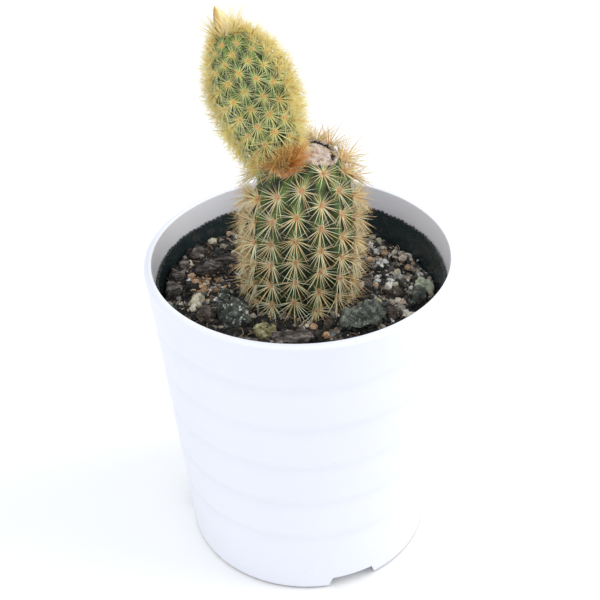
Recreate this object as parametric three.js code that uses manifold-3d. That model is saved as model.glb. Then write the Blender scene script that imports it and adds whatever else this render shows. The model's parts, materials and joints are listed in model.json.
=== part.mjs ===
// A cut-back columnar cactus with one offset, in a nursery pot that stands in a white cover pot.
// Millimetres, +Z up. The origin is the centre of the foot, on the ground. The front is -Y.
import * as THREE from 'three';
import { mergeVertices } from 'three/addons/utils/BufferGeometryUtils.js';
import Module from 'manifold-3d';

const wasm = await Module();
wasm.setup();

// ---- driving dimensions ----------------------------------------------------------------------
const GAP = 0.35;                    // clearance between pieces that touch

const POT_HEIGHT = 121.3;
const POT_RIM_RADIUS = 54.9;         // outside, at the lip
const POT_FOOT_RADIUS = 46.2;        // outside, on the ground
const POT_WALL = 2.8;
const POT_FLOOR_HEIGHT = 6.0;        // underside of the floor above the ground
const POT_FLOOR_THICKNESS = 2.4;
const FOOT_RING_WIDTH = 3.4;
const BAND_COUNT = 5;                // shallow rings pressed into the wall
const BAND_DROP = 19.1;              // top ring below the lip
const BAND_SPACING = 18.4;
const BAND_DEPTH = 0.45;
const BAND_WIDTH = 5.0;
const NOTCH_COUNT = 3;
const NOTCH_AZIMUTH = 19.6;          // degrees from the front towards +X
const NOTCH_WIDTH = 19.5;            // along the ground
const NOTCH_TOP_WIDTH = 15.8;
const NOTCH_HEIGHT = 5.2;
const POT_DRAIN_RADIUS = 4.0;
const POT_DRAIN_RING = 24.0;
const POT_DRAIN_COUNT = 6;

const NURSERY_RIM_DROP = 8.0;        // rim of the nursery pot below the lip of the cover pot
const NURSERY_WALL = 0.9;
const NURSERY_FOOT_CLEARANCE = 6.0;  // between its foot and the wall of the cover pot
const NURSERY_FLOOR_THICKNESS = 1.2;
const NURSERY_RAGGED = 2.0;          // how far the cut rim wanders
const NURSERY_DRAIN_RADIUS = 4.5;
const NURSERY_DRAIN_RING = 27.0;
const NURSERY_DRAIN_COUNT = 6;

const MIX_DROP = 16.0;               // middle of the mix below the lip of the cover pot
const MIX_FALL_RIGHT = 0.065;        // the mix lies lower towards the right
const MIX_FALL_BACK = 0.045;         // and lower towards the back
const MIX_LUMP = 0.7;

const STEM_RADIUS = 17.9;
const STEM_HEIGHT = 54.7;            // from the mix to the middle of the scar
const STEM_BURIED = 14.0;
const STEM_FOOT_X = -0.9;
const STEM_FOOT_Y = -1.0;
const STEM_LEAN = 7.4;               // how far the scar stands to the right of the foot
const STEM_RIBS = 14;
const STEM_RIB_TURN = 5;             // degrees from +X to the first rib
const STEM_RIB_DEPTH = 2.0;
const STEM_AREOLE_STEP = 8.2;
const STEM_AREOLE_START = 14.2;      // lowest areole of the rib with no stagger, from the buried end
const SCAR_RADIUS = 7.5;
const SCAR_TILT_RIGHT = 12;          // degrees
const SCAR_TILT_FRONT = 5;           // degrees

const OFFSET_LENGTH = 47.5;
const OFFSET_RADIUS = 11.4;
const OFFSET_LEAN = 15.5;            // degrees from upright, to the left
const OFFSET_ROOT = 6.0;              // how far the offset reaches into the main stem
const OFFSET_REACH_X = -13.1;        // joint measured from the middle of the scar
const OFFSET_REACH_Y = -4.0;
const OFFSET_REACH_Z = 0.3;
const OFFSET_RIBS = 16;
const OFFSET_RIB_TURN = -2;          // degrees from +X to the first rib
const OFFSET_RIB_DEPTH = 1.1;
const OFFSET_RIB_STAGGER = 9 / 16;   // share of a step from each rib to the next
const OFFSET_AREOLE_STEP = 7.4;      // lowest step; each one above is shorter
const OFFSET_AREOLE_SHRINK = 0.93;
const OFFSET_AREOLE_START = 4.6;

const TUFT_LENGTH = 8.0;
const TUFT_RADIUS = 3.6;
const TUFT_LEAN = 20;                // degrees from upright, to the left
const TUFT_SEAT = 2.0;               // how far the tuft's foot lies below the tip of the offset

const POT_SEGMENTS = 48;
const ROWS_PER_AREOLE = 2;
const COLUMNS_PER_RIB = 4;

// ---- colours ---------------------------------------------------------------------------------
const WHITE_PLASTIC = finish(0xeef0f6, 0.28);
const BLACK_PLASTIC = finish(0x15161a, 0.55);
const DARK_MIX = finish(0x2b2420, 0.95);
const STEM_SKIN = finish(0x55702f, 0.6);
const OFFSET_SKIN = finish(0x6d8a2c, 0.6);
const TUFT_PAPER = finish(0xe3cf8f, 0.7);
const BARK = finish(0x4a352a, 0.9);
const GREY_STONE = finish(0x4e5850, 0.8);
const BROWN_STONE = finish(0x5a4638, 0.8);
const GREEN_STONE = finish(0x8e8f5c, 0.8);
const CREAM_STONE = finish(0xd8d0b4, 0.8);
const TAN_PUMICE = finish(0xb98b5e, 0.9);
const PINK_PUMICE = finish(0xcda58c, 0.9);

function finish(color, roughness) {
  return new THREE.MeshStandardMaterial({ color, roughness, metalness: 0 });
}

// ---- small helpers ---------------------------------------------------------------------------
const radians = THREE.MathUtils.degToRad;

// A repeatable number from 0 to 1 for each seed.
function chance(seed) {
  const value = Math.sin(seed * 127.1 + 311.7) * 43758.5453;
  return value - Math.floor(value);
}

function solidOf(geometry) {
  const bare = geometry.clone();
  bare.deleteAttribute('normal');
  bare.deleteAttribute('uv');
  const merged = mergeVertices(bare, 1e-4);
  return new wasm.Manifold(new wasm.Mesh({
    numProp: 3,
    vertProperties: new Float32Array(merged.attributes.position.array),
    triVerts: new Uint32Array(merged.index.array),
  }));
}

function geometryOf(solid) {
  const mesh = solid.getMesh();
  const geometry = new THREE.BufferGeometry();
  geometry.setAttribute('position', new THREE.BufferAttribute(new Float32Array(mesh.vertProperties), 3));
  geometry.setIndex(new THREE.BufferAttribute(new Uint32Array(mesh.triVerts), 1));
  return geometry;
}

function carve(solid, tools) {
  return tools.reduce((left, tool) => left.subtract(tool), solid);
}

// A closed skin over rings of points, each ring in the same turning sense, closed by a point at each end.
function skin(rings, firstTip, lastTip) {
  const count = rings[0].length;
  const points = [firstTip, ...rings.flat(), lastTip];
  const at = (ring, step) => 1 + ring * count + (step % count);
  const faces = [];
  for (let step = 0; step < count; step += 1) {
    faces.push(0, at(0, step + 1), at(0, step));
    faces.push(points.length - 1, at(rings.length - 1, step), at(rings.length - 1, step + 1));
    for (let ring = 0; ring + 1 < rings.length; ring += 1) {
      faces.push(at(ring, step), at(ring, step + 1), at(ring + 1, step + 1));
      faces.push(at(ring, step), at(ring + 1, step + 1), at(ring + 1, step));
    }
  }
  const geometry = new THREE.BufferGeometry().setFromPoints(points);
  geometry.setIndex(faces);
  return geometry;
}

// A profile of [radius, height] points, from the axis to the axis, turned about Z.
function turned(profile, segments) {
  const points = profile.map(([radius, height]) => new THREE.Vector2(radius, height));
  return new THREE.LatheGeometry(points, segments).rotateX(Math.PI / 2);
}

function drill(radius, low, high, x = 0, y = 0) {
  const bit = new THREE.CylinderGeometry(radius, radius, high - low, 20).rotateX(Math.PI / 2);
  return solidOf(bit.translate(x, y, (low + high) / 2));
}

function drillRing(count, ring, radius, low, high) {
  return Array.from({ length: count }, (_, index) => {
    const angle = (index * 2 * Math.PI) / count;
    return drill(radius, low, high, ring * Math.cos(angle), ring * Math.sin(angle));
  });
}

// ---- cover pot -------------------------------------------------------------------------------
function potOuterRadius(height) {
  return THREE.MathUtils.lerp(POT_FOOT_RADIUS, POT_RIM_RADIUS, height / POT_HEIGHT);
}

function potInnerRadius(height) {
  return potOuterRadius(height) - POT_WALL;
}

const POT_FLOOR_TOP = POT_FLOOR_HEIGHT + POT_FLOOR_THICKNESS;

function coverPotSolid() {
  const lip = POT_WALL / 2;
  const lipCentre = [potOuterRadius(POT_HEIGHT) - lip, POT_HEIGHT - lip];
  const topBand = POT_HEIGHT - BAND_DROP;
  const bands = Array.from({ length: BAND_COUNT }, (_, index) => topBand - index * BAND_SPACING);
  const outside = bands.reverse().flatMap((height) => [
    [potOuterRadius(height - BAND_WIDTH / 2), height - BAND_WIDTH / 2],
    [potOuterRadius(height) - BAND_DEPTH, height],
    [potOuterRadius(height + BAND_WIDTH / 2), height + BAND_WIDTH / 2],
  ]);
  const lipArc = [0, 45, 90, 135, 180].map((turn) => [
    lipCentre[0] + lip * Math.cos(radians(turn)),
    lipCentre[1] + lip * Math.sin(radians(turn)),
  ]);
  const cornerRadius = 3;
  const inside = potInnerRadius(POT_FLOOR_TOP);
  const profile = [
    [0, POT_FLOOR_HEIGHT],
    [POT_FOOT_RADIUS - FOOT_RING_WIDTH, POT_FLOOR_HEIGHT],
    [POT_FOOT_RADIUS - FOOT_RING_WIDTH, 0],
    [POT_FOOT_RADIUS - 1, 0],
    [potOuterRadius(1), 1],
    ...outside,
    ...lipArc,
    [inside, POT_FLOOR_TOP + cornerRadius],
    [inside - cornerRadius, POT_FLOOR_TOP],
    [0, POT_FLOOR_TOP],
  ];
  const shell = solidOf(turned(profile, POT_SEGMENTS));
  const drains = drillRing(POT_DRAIN_COUNT, POT_DRAIN_RING, POT_DRAIN_RADIUS, 0, POT_FLOOR_TOP + 1);
  return carve(shell, [...footNotches(), drill(POT_DRAIN_RADIUS, 0, POT_FLOOR_TOP + 1), ...drains]);
}

// Water runs out through a few wide, low notches in the foot ring.
function footNotches() {
  const outline = new THREE.Shape([
    new THREE.Vector2(-NOTCH_WIDTH / 2, 0),
    new THREE.Vector2(NOTCH_WIDTH / 2, 0),
    new THREE.Vector2(NOTCH_TOP_WIDTH / 2, NOTCH_HEIGHT),
    new THREE.Vector2(-NOTCH_TOP_WIDTH / 2, NOTCH_HEIGHT),
  ]);
  const reach = FOOT_RING_WIDTH * 4;
  return Array.from({ length: NOTCH_COUNT }, (_, index) => {
    const block = new THREE.ExtrudeGeometry(outline, { depth: reach, bevelEnabled: false });
    block.rotateX(Math.PI / 2).translate(0, -POT_FOOT_RADIUS + reach / 2, -0.001);
    return solidOf(block.rotateZ(radians(NOTCH_AZIMUTH + (index * 360) / NOTCH_COUNT)));
  });
}

// ---- nursery pot -----------------------------------------------------------------------------
const NURSERY_FLOOR = POT_FLOOR_TOP + GAP;
const NURSERY_RIM = POT_HEIGHT - NURSERY_RIM_DROP;
const NURSERY_RIM_RADIUS = potInnerRadius(NURSERY_RIM) - GAP;
const NURSERY_FOOT_RADIUS = potInnerRadius(NURSERY_FLOOR) - NURSERY_FOOT_CLEARANCE;

function nurseryOuterRadius(height) {
  const share = (height - NURSERY_FLOOR) / (NURSERY_RIM - NURSERY_FLOOR);
  return THREE.MathUtils.lerp(NURSERY_FOOT_RADIUS, NURSERY_RIM_RADIUS, share);
}

function nurserySolid() {
  const floorTop = NURSERY_FLOOR + NURSERY_FLOOR_THICKNESS;
  const foldHeight = NURSERY_RIM - 12;
  const profile = [
    [0, NURSERY_FLOOR],
    [NURSERY_FOOT_RADIUS, NURSERY_FLOOR],
    [nurseryOuterRadius(foldHeight), foldHeight],
    [NURSERY_RIM_RADIUS, NURSERY_RIM],
    [NURSERY_RIM_RADIUS - NURSERY_WALL, NURSERY_RIM],
    [nurseryOuterRadius(foldHeight) - NURSERY_WALL, foldHeight],
    [nurseryOuterRadius(floorTop) - NURSERY_WALL, floorTop],
    [0, floorTop],
  ];
  const geometry = turned(profile, POT_SEGMENTS);
  raggedEdge(geometry);
  const reach = [NURSERY_FLOOR - 1, floorTop + 1];
  const drains = drillRing(NURSERY_DRAIN_COUNT, NURSERY_DRAIN_RING, NURSERY_DRAIN_RADIUS, ...reach);
  return carve(solidOf(geometry), drains);
}

// The thin rim was torn and trimmed by hand, so its height wanders.
function raggedEdge(geometry) {
  const place = geometry.attributes.position;
  for (let index = 0; index < place.count; index += 1) {
    if (place.getZ(index) > NURSERY_RIM - 0.01) {
      const turn = Math.atan2(place.getY(index), place.getX(index));
      const step = (Math.round((turn * POT_SEGMENTS) / (2 * Math.PI)) + POT_SEGMENTS) % POT_SEGMENTS;
      place.setZ(index, NURSERY_RIM - NURSERY_RAGGED * chance(step + 5));
    }
  }
}

// ---- potting mix -----------------------------------------------------------------------------
const MIX_LEVEL = POT_HEIGHT - MIX_DROP;

function mixHeight(x, y) {
  const lumps = Math.sin(x * 0.31 + 1.3) * Math.cos(y * 0.27) + 0.6 * Math.sin(x * 0.13 - y * 0.47);
  return MIX_LEVEL - MIX_FALL_RIGHT * x - MIX_FALL_BACK * y + MIX_LUMP * lumps;
}

function mixSolid() {
  const segments = 32;
  const bottom = NURSERY_FLOOR + NURSERY_FLOOR_THICKNESS + GAP;
  const sideRadius = (height) => nurseryOuterRadius(height) - NURSERY_WALL - GAP - 0.1;
  const ring = (radius, height) => Array.from({ length: segments }, (_, step) => {
    const turn = (step * 2 * Math.PI) / segments;
    const x = radius * Math.cos(turn);
    const y = radius * Math.sin(turn);
    return new THREE.Vector3(x, y, height ?? mixHeight(x, y));
  });
  const edge = sideRadius(MIX_LEVEL - MIX_FALL_RIGHT * POT_RIM_RADIUS);
  const rings = [ring(sideRadius(bottom), bottom), ring(edge)];
  for (const share of [0.84, 0.67, 0.5, 0.3]) {
    rings.push(ring(edge * share));
  }
  const geometry = skin(rings, new THREE.Vector3(0, 0, bottom), new THREE.Vector3(0, 0, mixHeight(0, 0)));
  return solidOf(geometry);
}

// ---- stems -----------------------------------------------------------------------------------
// Each station is [share of the length, share of the radius, share of the lean].
const STEM_STATIONS = [
  [0.10, 0.84, 0.0], [0.24, 0.94, 0.03], [0.42, 0.985, 0.14], [0.56, 1.0, 0.21],
  [0.72, 0.985, 0.27], [0.83, 0.92, 0.37], [0.90, 0.82, 0.48], [0.955, 0.66, 0.66],
];
// Each station is [share of the length, share of the radius, bend to the right as a share of the radius].
const OFFSET_STATIONS = [
  [0.0, 0.58, 0.193], [0.05, 0.70, 0.118], [0.17, 0.82, 0.032], [0.32, 0.925, 0], [0.45, 0.985, 0],
  [0.59, 1.0, 0], [0.74, 0.895, 0], [0.86, 0.685, -0.032], [0.945, 0.44, -0.086],
  [0.985, 0.215, -0.128],
];
// How far each rib's areoles lie below those of the rib with none, as a share of a step.
const STEM_RIB_STAGGER = [
  0.265, 0.84, 0.42, 0.0, 0.575, 0.15, 0.73, 0.31, 0.885, 0.46, 0.04, 0.52, 0.11, 0.69,
];

// How far the skin stands out at a turn around a ribbed stem: crests on the ribs, each broken into
// tubercles. The phase counts areoles along the rib.
function ribSwell(turn, firstRib, ribs, phaseOf, depth) {
  const rib = ((turn - radians(firstRib)) * ribs) / (2 * Math.PI);
  const crest = 0.5 + 0.5 * Math.cos(2 * Math.PI * rib);
  const nearest = (Math.round(rib) + ribs) % ribs;
  const bump = Math.cos(2 * Math.PI * phaseOf(nearest));
  return depth * (crest - 1 + 0.22 * bump * crest);
}

function stemFrame(share, lean) {
  const tilt = Math.max(0, (share - 0.8) / 0.2);
  const rightTilt = radians(5 + (SCAR_TILT_RIGHT - 5) * tilt);
  const normal = new THREE.Vector3(Math.sin(rightTilt), -Math.sin(radians(SCAR_TILT_FRONT) * tilt), 1);
  const length = STEM_BURIED + STEM_HEIGHT;
  const centre = new THREE.Vector3(
    STEM_FOOT_X + STEM_LEAN * lean,
    STEM_FOOT_Y * (1 - share),
    MIX_LEVEL - STEM_BURIED + length * share,
  );
  return { centre, normal: normal.normalize() };
}

// A ring of points about a centre, square to a normal, with the radius given for each turn.
function ringAt(centre, normal, steps, radiusAt) {
  const lay = new THREE.Quaternion().setFromUnitVectors(new THREE.Vector3(0, 0, 1), normal);
  return Array.from({ length: steps }, (_, step) => {
    const turn = (step * 2 * Math.PI) / steps;
    const radius = radiusAt(turn);
    return new THREE.Vector3(radius * Math.cos(turn), radius * Math.sin(turn), 0)
      .applyQuaternion(lay).add(centre);
  });
}

// Values between stations, on a smooth curve through them.
function between(stations, share) {
  const last = stations.length - 1;
  let index = stations.findIndex((station) => station[0] > share);
  index = index === -1 ? last : Math.max(index, 1);
  const at = (place) => stations[THREE.MathUtils.clamp(place, 0, last)];
  const [before, start, end, after] = [at(index - 2), at(index - 1), at(index), at(index + 1)];
  const t = THREE.MathUtils.clamp((share - start[0]) / (end[0] - start[0]), 0, 1);
  return start.map((value, column) => {
    const spread = end[0] - start[0];
    const slopeIn = ((end[column] - before[column]) / (end[0] - before[0] || 1)) * spread;
    const slopeOut = ((after[column] - value) / (after[0] - start[0] || 1)) * spread;
    return (2 * t ** 3 - 3 * t ** 2 + 1) * value + (t ** 3 - 2 * t ** 2 + t) * slopeIn
      + (3 * t ** 2 - 2 * t ** 3) * end[column] + (t ** 3 - t ** 2) * slopeOut;
  });
}

function mainStemSolid(grow = 0) {
  const length = STEM_BURIED + STEM_HEIGHT;
  const rows = Math.round((length * ROWS_PER_AREOLE) / STEM_AREOLE_STEP);
  const steps = STEM_RIBS * COLUMNS_PER_RIB;
  const first = STEM_STATIONS[0][0];
  const end = STEM_STATIONS.at(-1)[0];
  const rings = [];
  for (let row = 0; row <= rows; row += 1) {
    const share = first + ((end - first) * row) / rows;
    const [, radius, lean] = between(STEM_STATIONS, share);
    const { centre, normal } = stemFrame(share, lean);
    const fade = THREE.MathUtils.smoothstep(end - share, 0, 0.12);
    const areoles = (share * length - STEM_AREOLE_START) / STEM_AREOLE_STEP;
    const phaseOf = (rib) => areoles + STEM_RIB_STAGGER[rib % STEM_RIB_STAGGER.length];
    rings.push(ringAt(centre, normal, steps, (turn) => STEM_RADIUS * radius + grow
      + fade * ribSwell(turn, STEM_RIB_TURN, STEM_RIBS, phaseOf, STEM_RIB_DEPTH)));
  }
  const top = stemFrame(1, 1);
  rings.push(ringAt(top.centre, top.normal, steps, () => SCAR_RADIUS + grow));
  rings.push(ringAt(top.centre, top.normal, steps, () => (SCAR_RADIUS + grow) * 0.55));
  const foot = stemFrame(0, 0);
  rings.unshift(ringAt(stemFrame(0.03, 0).centre, foot.normal, steps, () => STEM_RADIUS * 0.55 + grow));
  const footTip = foot.centre.clone().addScaledVector(foot.normal, -grow);
  const scarTip = top.centre.clone().addScaledVector(top.normal, 0.8 + grow);
  return solidOf(skin(rings, footTip, scarTip));
}

const OFFSET_AXIS = new THREE.Vector3(-Math.sin(radians(OFFSET_LEAN)), 0, Math.cos(radians(OFFSET_LEAN)));
const OFFSET_SIDE = new THREE.Vector3(Math.cos(radians(OFFSET_LEAN)), 0, Math.sin(radians(OFFSET_LEAN)));
const OFFSET_JOINT = stemFrame(1, 1).centre.clone()
  .add(new THREE.Vector3(OFFSET_REACH_X, OFFSET_REACH_Y, OFFSET_REACH_Z));

function offsetCentre(share) {
  const [, , bend] = between(OFFSET_STATIONS, share);
  return OFFSET_JOINT.clone().addScaledVector(OFFSET_AXIS, OFFSET_LENGTH * share)
    .addScaledVector(OFFSET_SIDE, OFFSET_RADIUS * bend);
}

// Areoles counted from the lowest, where each step is shorter than the one below it.
function offsetAreoles(along) {
  const used = ((along - OFFSET_AREOLE_START) * (1 - OFFSET_AREOLE_SHRINK)) / OFFSET_AREOLE_STEP;
  return Math.log(Math.max(1 - used, 0.05)) / Math.log(OFFSET_AREOLE_SHRINK);
}

function offsetSolid(grow = 0) {
  const rows = Math.round((OFFSET_LENGTH * ROWS_PER_AREOLE) / (OFFSET_AREOLE_STEP * 0.85));
  const steps = OFFSET_RIBS * COLUMNS_PER_RIB;
  const end = OFFSET_STATIONS.at(-1)[0];
  const rings = [];
  for (let row = 0; row <= rows; row += 1) {
    const share = (end * row) / rows;
    const [, radius] = between(OFFSET_STATIONS, share);
    const fade = THREE.MathUtils.smoothstep(end - share, 0, 0.12);
    const phaseOf = (rib) => offsetAreoles(share * OFFSET_LENGTH) + OFFSET_RIB_STAGGER * (rib + 4);
    rings.push(ringAt(offsetCentre(share), OFFSET_AXIS, steps, (turn) => OFFSET_RADIUS * radius + grow
      + fade * ribSwell(turn, OFFSET_RIB_TURN, OFFSET_RIBS, phaseOf, OFFSET_RIB_DEPTH)));
  }
  const neck = offsetCentre(0).addScaledVector(OFFSET_AXIS, -OFFSET_ROOT * 0.75);
  rings.unshift(ringAt(neck, OFFSET_AXIS, steps, () => OFFSET_RADIUS * 0.42 + grow));
  const foot = offsetCentre(0).addScaledVector(OFFSET_AXIS, -OFFSET_ROOT - grow);
  const tip = offsetCentre(1).addScaledVector(OFFSET_AXIS, grow);
  return solidOf(skin(rings, foot, tip));
}

function tuftSolid() {
  const axis = new THREE.Vector3(-Math.sin(radians(TUFT_LEAN)), 0, Math.cos(radians(TUFT_LEAN)));
  const foot = offsetCentre(1).addScaledVector(axis, -TUFT_SEAT);
  const steps = 10;
  const rings = [[0, 1.0], [0.3, 0.92], [0.6, 0.6], [0.85, 0.26]].map(([share, radius]) => {
    const centre = foot.clone().addScaledVector(axis, (TUFT_LENGTH + TUFT_SEAT) * share);
    return ringAt(centre, axis, steps, (turn) => TUFT_RADIUS * radius * (1 + 0.12 * Math.cos(5 * turn)));
  });
  const tip = foot.clone().addScaledVector(axis, TUFT_LENGTH + TUFT_SEAT);
  return solidOf(skin(rings, foot.clone().addScaledVector(axis, -0.5), tip));
}

// ---- what lies on the mix --------------------------------------------------------------------
// Each entry: name, kind, azimuth from +X, share of the way from the stem to the wall,
// [length, width, height], heading, colour.
const LOOSE_PIECES = [
  ['stone_slate_large', 'stone', -48, 0.37, [19.5, 10, 8.5], 33, GREY_STONE],
  ['stone_grey_small', 'stone', -26, 0.55, [6, 5, 4.2], 10, BROWN_STONE],
  ['stone_lichen', 'stone', 3, 0.83, [8.4, 5, 5], -51, CREAM_STONE],
  ['stone_slate_right', 'stone', -7, 0.75, [7, 6, 5], 70, GREY_STONE],
  ['stone_brown_right', 'stone', -5, 0.48, [6.5, 5, 4.5], 20, BROWN_STONE],
  ['stone_brown_left', 'stone', -150, 0.64, [7.5, 6.5, 5.5], 120, BROWN_STONE],
  ['stone_speckled_left', 'stone', -139, 0.40, [13.5, 10, 8], 138, GREY_STONE],
  ['stone_speckled_small', 'stone', -163, 0.33, [7.5, 4.5, 4.5], 80, GREY_STONE],
  ['stone_green_front', 'stone', -114, 0.42, [7, 6.4, 5.4], 0, GREEN_STONE],
  ['stone_cream_long', 'stone', -163, 0.64, [11, 4.6, 4.2], 73, CREAM_STONE],
  ['stone_back_left', 'stone', 118, 0.62, [8, 6, 5], 20, GREY_STONE],
  ['stone_back_right', 'stone', 68, 0.36, [7, 5.5, 5], 100, BROWN_STONE],
  ['bark_right', 'bark', 12, 0.20, [8, 4, 2.6], 85, BARK],
  ['bark_left_far', 'bark', 149, 0.84, [7.5, 5, 2.6], 70, BARK],
  ['bark_left_long', 'bark', 142, 0.50, [11.5, 5, 2.8], 20, BARK],
  ['bark_left_wall', 'bark', 160, 0.87, [6, 3.6, 2.4], 75, BARK],
  ['bark_left_wide', 'bark', 161, 0.54, [12, 6, 3.2], 15, BARK],
  ['bark_left_edge', 'bark', 171, 0.85, [6.5, 5, 2.6], 80, BARK],
  ['bark_left_near', 'bark', -176, 0.86, [9, 5, 3], 95, BARK],
  ['bark_front_small', 'bark', -118, 0.64, [6, 4, 2.4], 150, BARK],
  ['bark_front_long', 'bark', -98, 0.46, [15, 5.5, 3], 5, BARK],
  ['bark_front_right', 'bark', -61, 0.66, [9, 4.5, 2.6], 28, BARK],
  ['bark_back', 'bark', 92, 0.52, [12, 6, 3], 165, BARK],
  ['bark_back_right', 'bark', 58, 0.72, [9, 4.5, 2.8], 120, BARK],
  ['pebble_white_left', 'pebble', 137, 0.86, [4, 3.6, 3.4], 30, CREAM_STONE],
  ['pebble_orange_far', 'pebble', 170, 0.70, [3.2, 2.9, 2.7], 0, TAN_PUMICE],
  ['pebble_orange_middle', 'pebble', 178, 0.62, [3.2, 3, 2.8], 40, TAN_PUMICE],
  ['pebble_orange_near', 'pebble', -176, 0.52, [3.3, 3, 2.8], 80, TAN_PUMICE],
  ['pebble_yellow', 'pebble', -19, 0.32, [3.5, 3, 3], 0, GREEN_STONE],
  ['pebble_cream_low', 'pebble', 6, 0.50, [3, 2.6, 2.6], 15, CREAM_STONE],
  ['pebble_cream_high', 'pebble', 18, 0.60, [3.6, 3.2, 3.1], 60, CREAM_STONE],
  ['pebble_pink_large', 'pebble', 28, 0.79, [4, 3.6, 3.4], 10, PINK_PUMICE],
  ['pebble_pink_small', 'pebble', 34, 0.88, [3, 2.8, 2.6], 50, PINK_PUMICE],
  ['pebble_tan_right', 'pebble', 22, 0.78, [3.2, 3, 2.9], 20, TAN_PUMICE],
  ['pebble_tan_back', 'pebble', 40, 0.74, [3.4, 3.1, 2.9], 70, TAN_PUMICE],
  ['pebble_cream_back', 'pebble', 48, 0.86, [3.1, 2.8, 2.7], 0, CREAM_STONE],
  ['pebble_tan_inner', 'pebble', 38, 0.45, [3.4, 3, 2.9], 30, TAN_PUMICE],
  ['pebble_rosy', 'pebble', -26, 0.74, [4.6, 3.2, 3.2], 35, PINK_PUMICE],
  ['pebble_tan_front', 'pebble', -82, 0.24, [3.2, 2.9, 2.8], 0, TAN_PUMICE],
  ['pebble_tan_near', 'pebble', -76, 0.42, [3.2, 2.9, 2.8], 60, TAN_PUMICE],
  ['pebble_brown_front', 'pebble', -68, 0.16, [4.4, 3.4, 3.1], 20, BROWN_STONE],
  ['pebble_back_cream', 'pebble', 104, 0.32, [3.6, 3.2, 3], 45, CREAM_STONE],
];

// A broken lump: a ball of facets pushed in and out and set to its length, width and height.
function stoneGeometry([length, width, height], seed, grow, detail = 1) {
  const ball = mergeVertices(bareBall(detail), 1e-4);
  const place = ball.attributes.position;
  const point = new THREE.Vector3();
  for (let index = 0; index < place.count; index += 1) {
    point.fromBufferAttribute(place, index).normalize();
    point.multiplyScalar(0.86 + 0.22 * chance(index * 3.1 + seed * 17.7));
    point.set(point.x * (length / 2 + grow), point.y * (width / 2 + grow), point.z * (height / 2 + grow));
    place.setXYZ(index, point.x, point.y, point.z);
  }
  return ball;
}

function bareBall(detail) {
  const ball = new THREE.IcosahedronGeometry(1, detail);
  ball.deleteAttribute('normal');
  ball.deleteAttribute('uv');
  return ball;
}

// A flat chip with a ragged outline, thinner at its rims.
function barkGeometry([length, width, height], seed, grow) {
  const corners = 8;
  const ring = (level, share) => Array.from({ length: corners }, (_, corner) => {
    const turn = (corner * 2 * Math.PI) / corners;
    const wander = share * (0.84 + 0.3 * chance(corner * 5.3 + seed * 11.1));
    const tilt = (height / 5) * (chance(corner * 2.7 + seed * 3.9) - 0.5);
    return new THREE.Vector3(
      (length / 2) * wander * Math.cos(turn) + grow * Math.cos(turn),
      (width / 2) * wander * Math.sin(turn) + grow * Math.sin(turn),
      level * (height / 2 + grow) + tilt,
    );
  });
  const rings = [ring(-0.75, 0.8), ring(0, 1), ring(0.75, 0.86)];
  const tip = height / 2 + grow;
  return skin(rings, new THREE.Vector3(0, 0, -tip), new THREE.Vector3(0, 0, tip));
}

function pebbleGeometry(size, seed, grow) {
  return stoneGeometry(size, seed, grow, 0);
}

// How each kind is shaped, and the share of its height that lies in the mix.
const LOOSE_KINDS = {
  stone: { make: stoneGeometry, sink: 0.16 },
  pebble: { make: pebbleGeometry, sink: 0.1 },
  bark: { make: barkGeometry, sink: 0.2 },
};

function looseSolid([, kind, azimuth, share, size, heading], seed, grow = 0) {
  const reach = THREE.MathUtils.lerp(STEM_RADIUS, potInnerRadius(MIX_LEVEL) - NURSERY_WALL - GAP, share);
  const x = reach * Math.cos(radians(azimuth));
  const y = reach * Math.sin(radians(azimuth));
  const { make, sink } = LOOSE_KINDS[kind];
  const geometry = make(size, seed, grow);
  const lift = size[2] * (0.5 - sink);
  geometry.rotateX(radians(8 * (chance(seed + 0.4) - 0.5))).rotateZ(radians(heading));
  return solidOf(geometry.translate(x, y, mixHeight(x, y) + lift));
}

// ---- assembly --------------------------------------------------------------------------------
const plant = new THREE.Group();

function addNode(name, solid, material) {
  const mesh = new THREE.Mesh(geometryOf(solid), material);
  mesh.name = name;
  plant.add(mesh);
}

const stem = mainStemSolid();
const stemRoom = mainStemSolid(GAP);
const offset = offsetSolid();
const offsetRoom = offsetSolid(GAP);
const wallRoom = solidOf(turned([
  [0, 0],
  [nurseryOuterRadius(MIX_LEVEL) - NURSERY_WALL - GAP, 0],
  [nurseryOuterRadius(MIX_LEVEL) - NURSERY_WALL - GAP, POT_HEIGHT * 2],
  [0, POT_HEIGHT * 2],
], POT_SEGMENTS));

addNode('cover_pot', coverPotSolid(), WHITE_PLASTIC);
addNode('nursery_pot', nurserySolid(), BLACK_PLASTIC);
addNode('main_stem', stem.subtract(offsetRoom), STEM_SKIN);
addNode('offset_stem', offset, OFFSET_SKIN);
addNode('crown_tuft', tuftSolid().subtract(offsetRoom), TUFT_PAPER);

// Each loose piece makes room for the ones already laid, and the mix makes room for them all.
const laid = [stemRoom];
LOOSE_PIECES.forEach((entry, index) => {
  const lump = carve(looseSolid(entry, index + 1), laid).intersect(wallRoom);
  addNode(entry[0], lump, entry[6]);
  laid.push(looseSolid(entry, index + 1, GAP));
});
addNode('potting_mix', carve(mixSolid(), laid), DARK_MIX);

export default plant;
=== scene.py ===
import json
import math

import bmesh
import bpy
import numpy as np
from bpy.props import FloatProperty, FloatVectorProperty, IntProperty, PointerProperty
from mathutils import Matrix, Vector, noise

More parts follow.
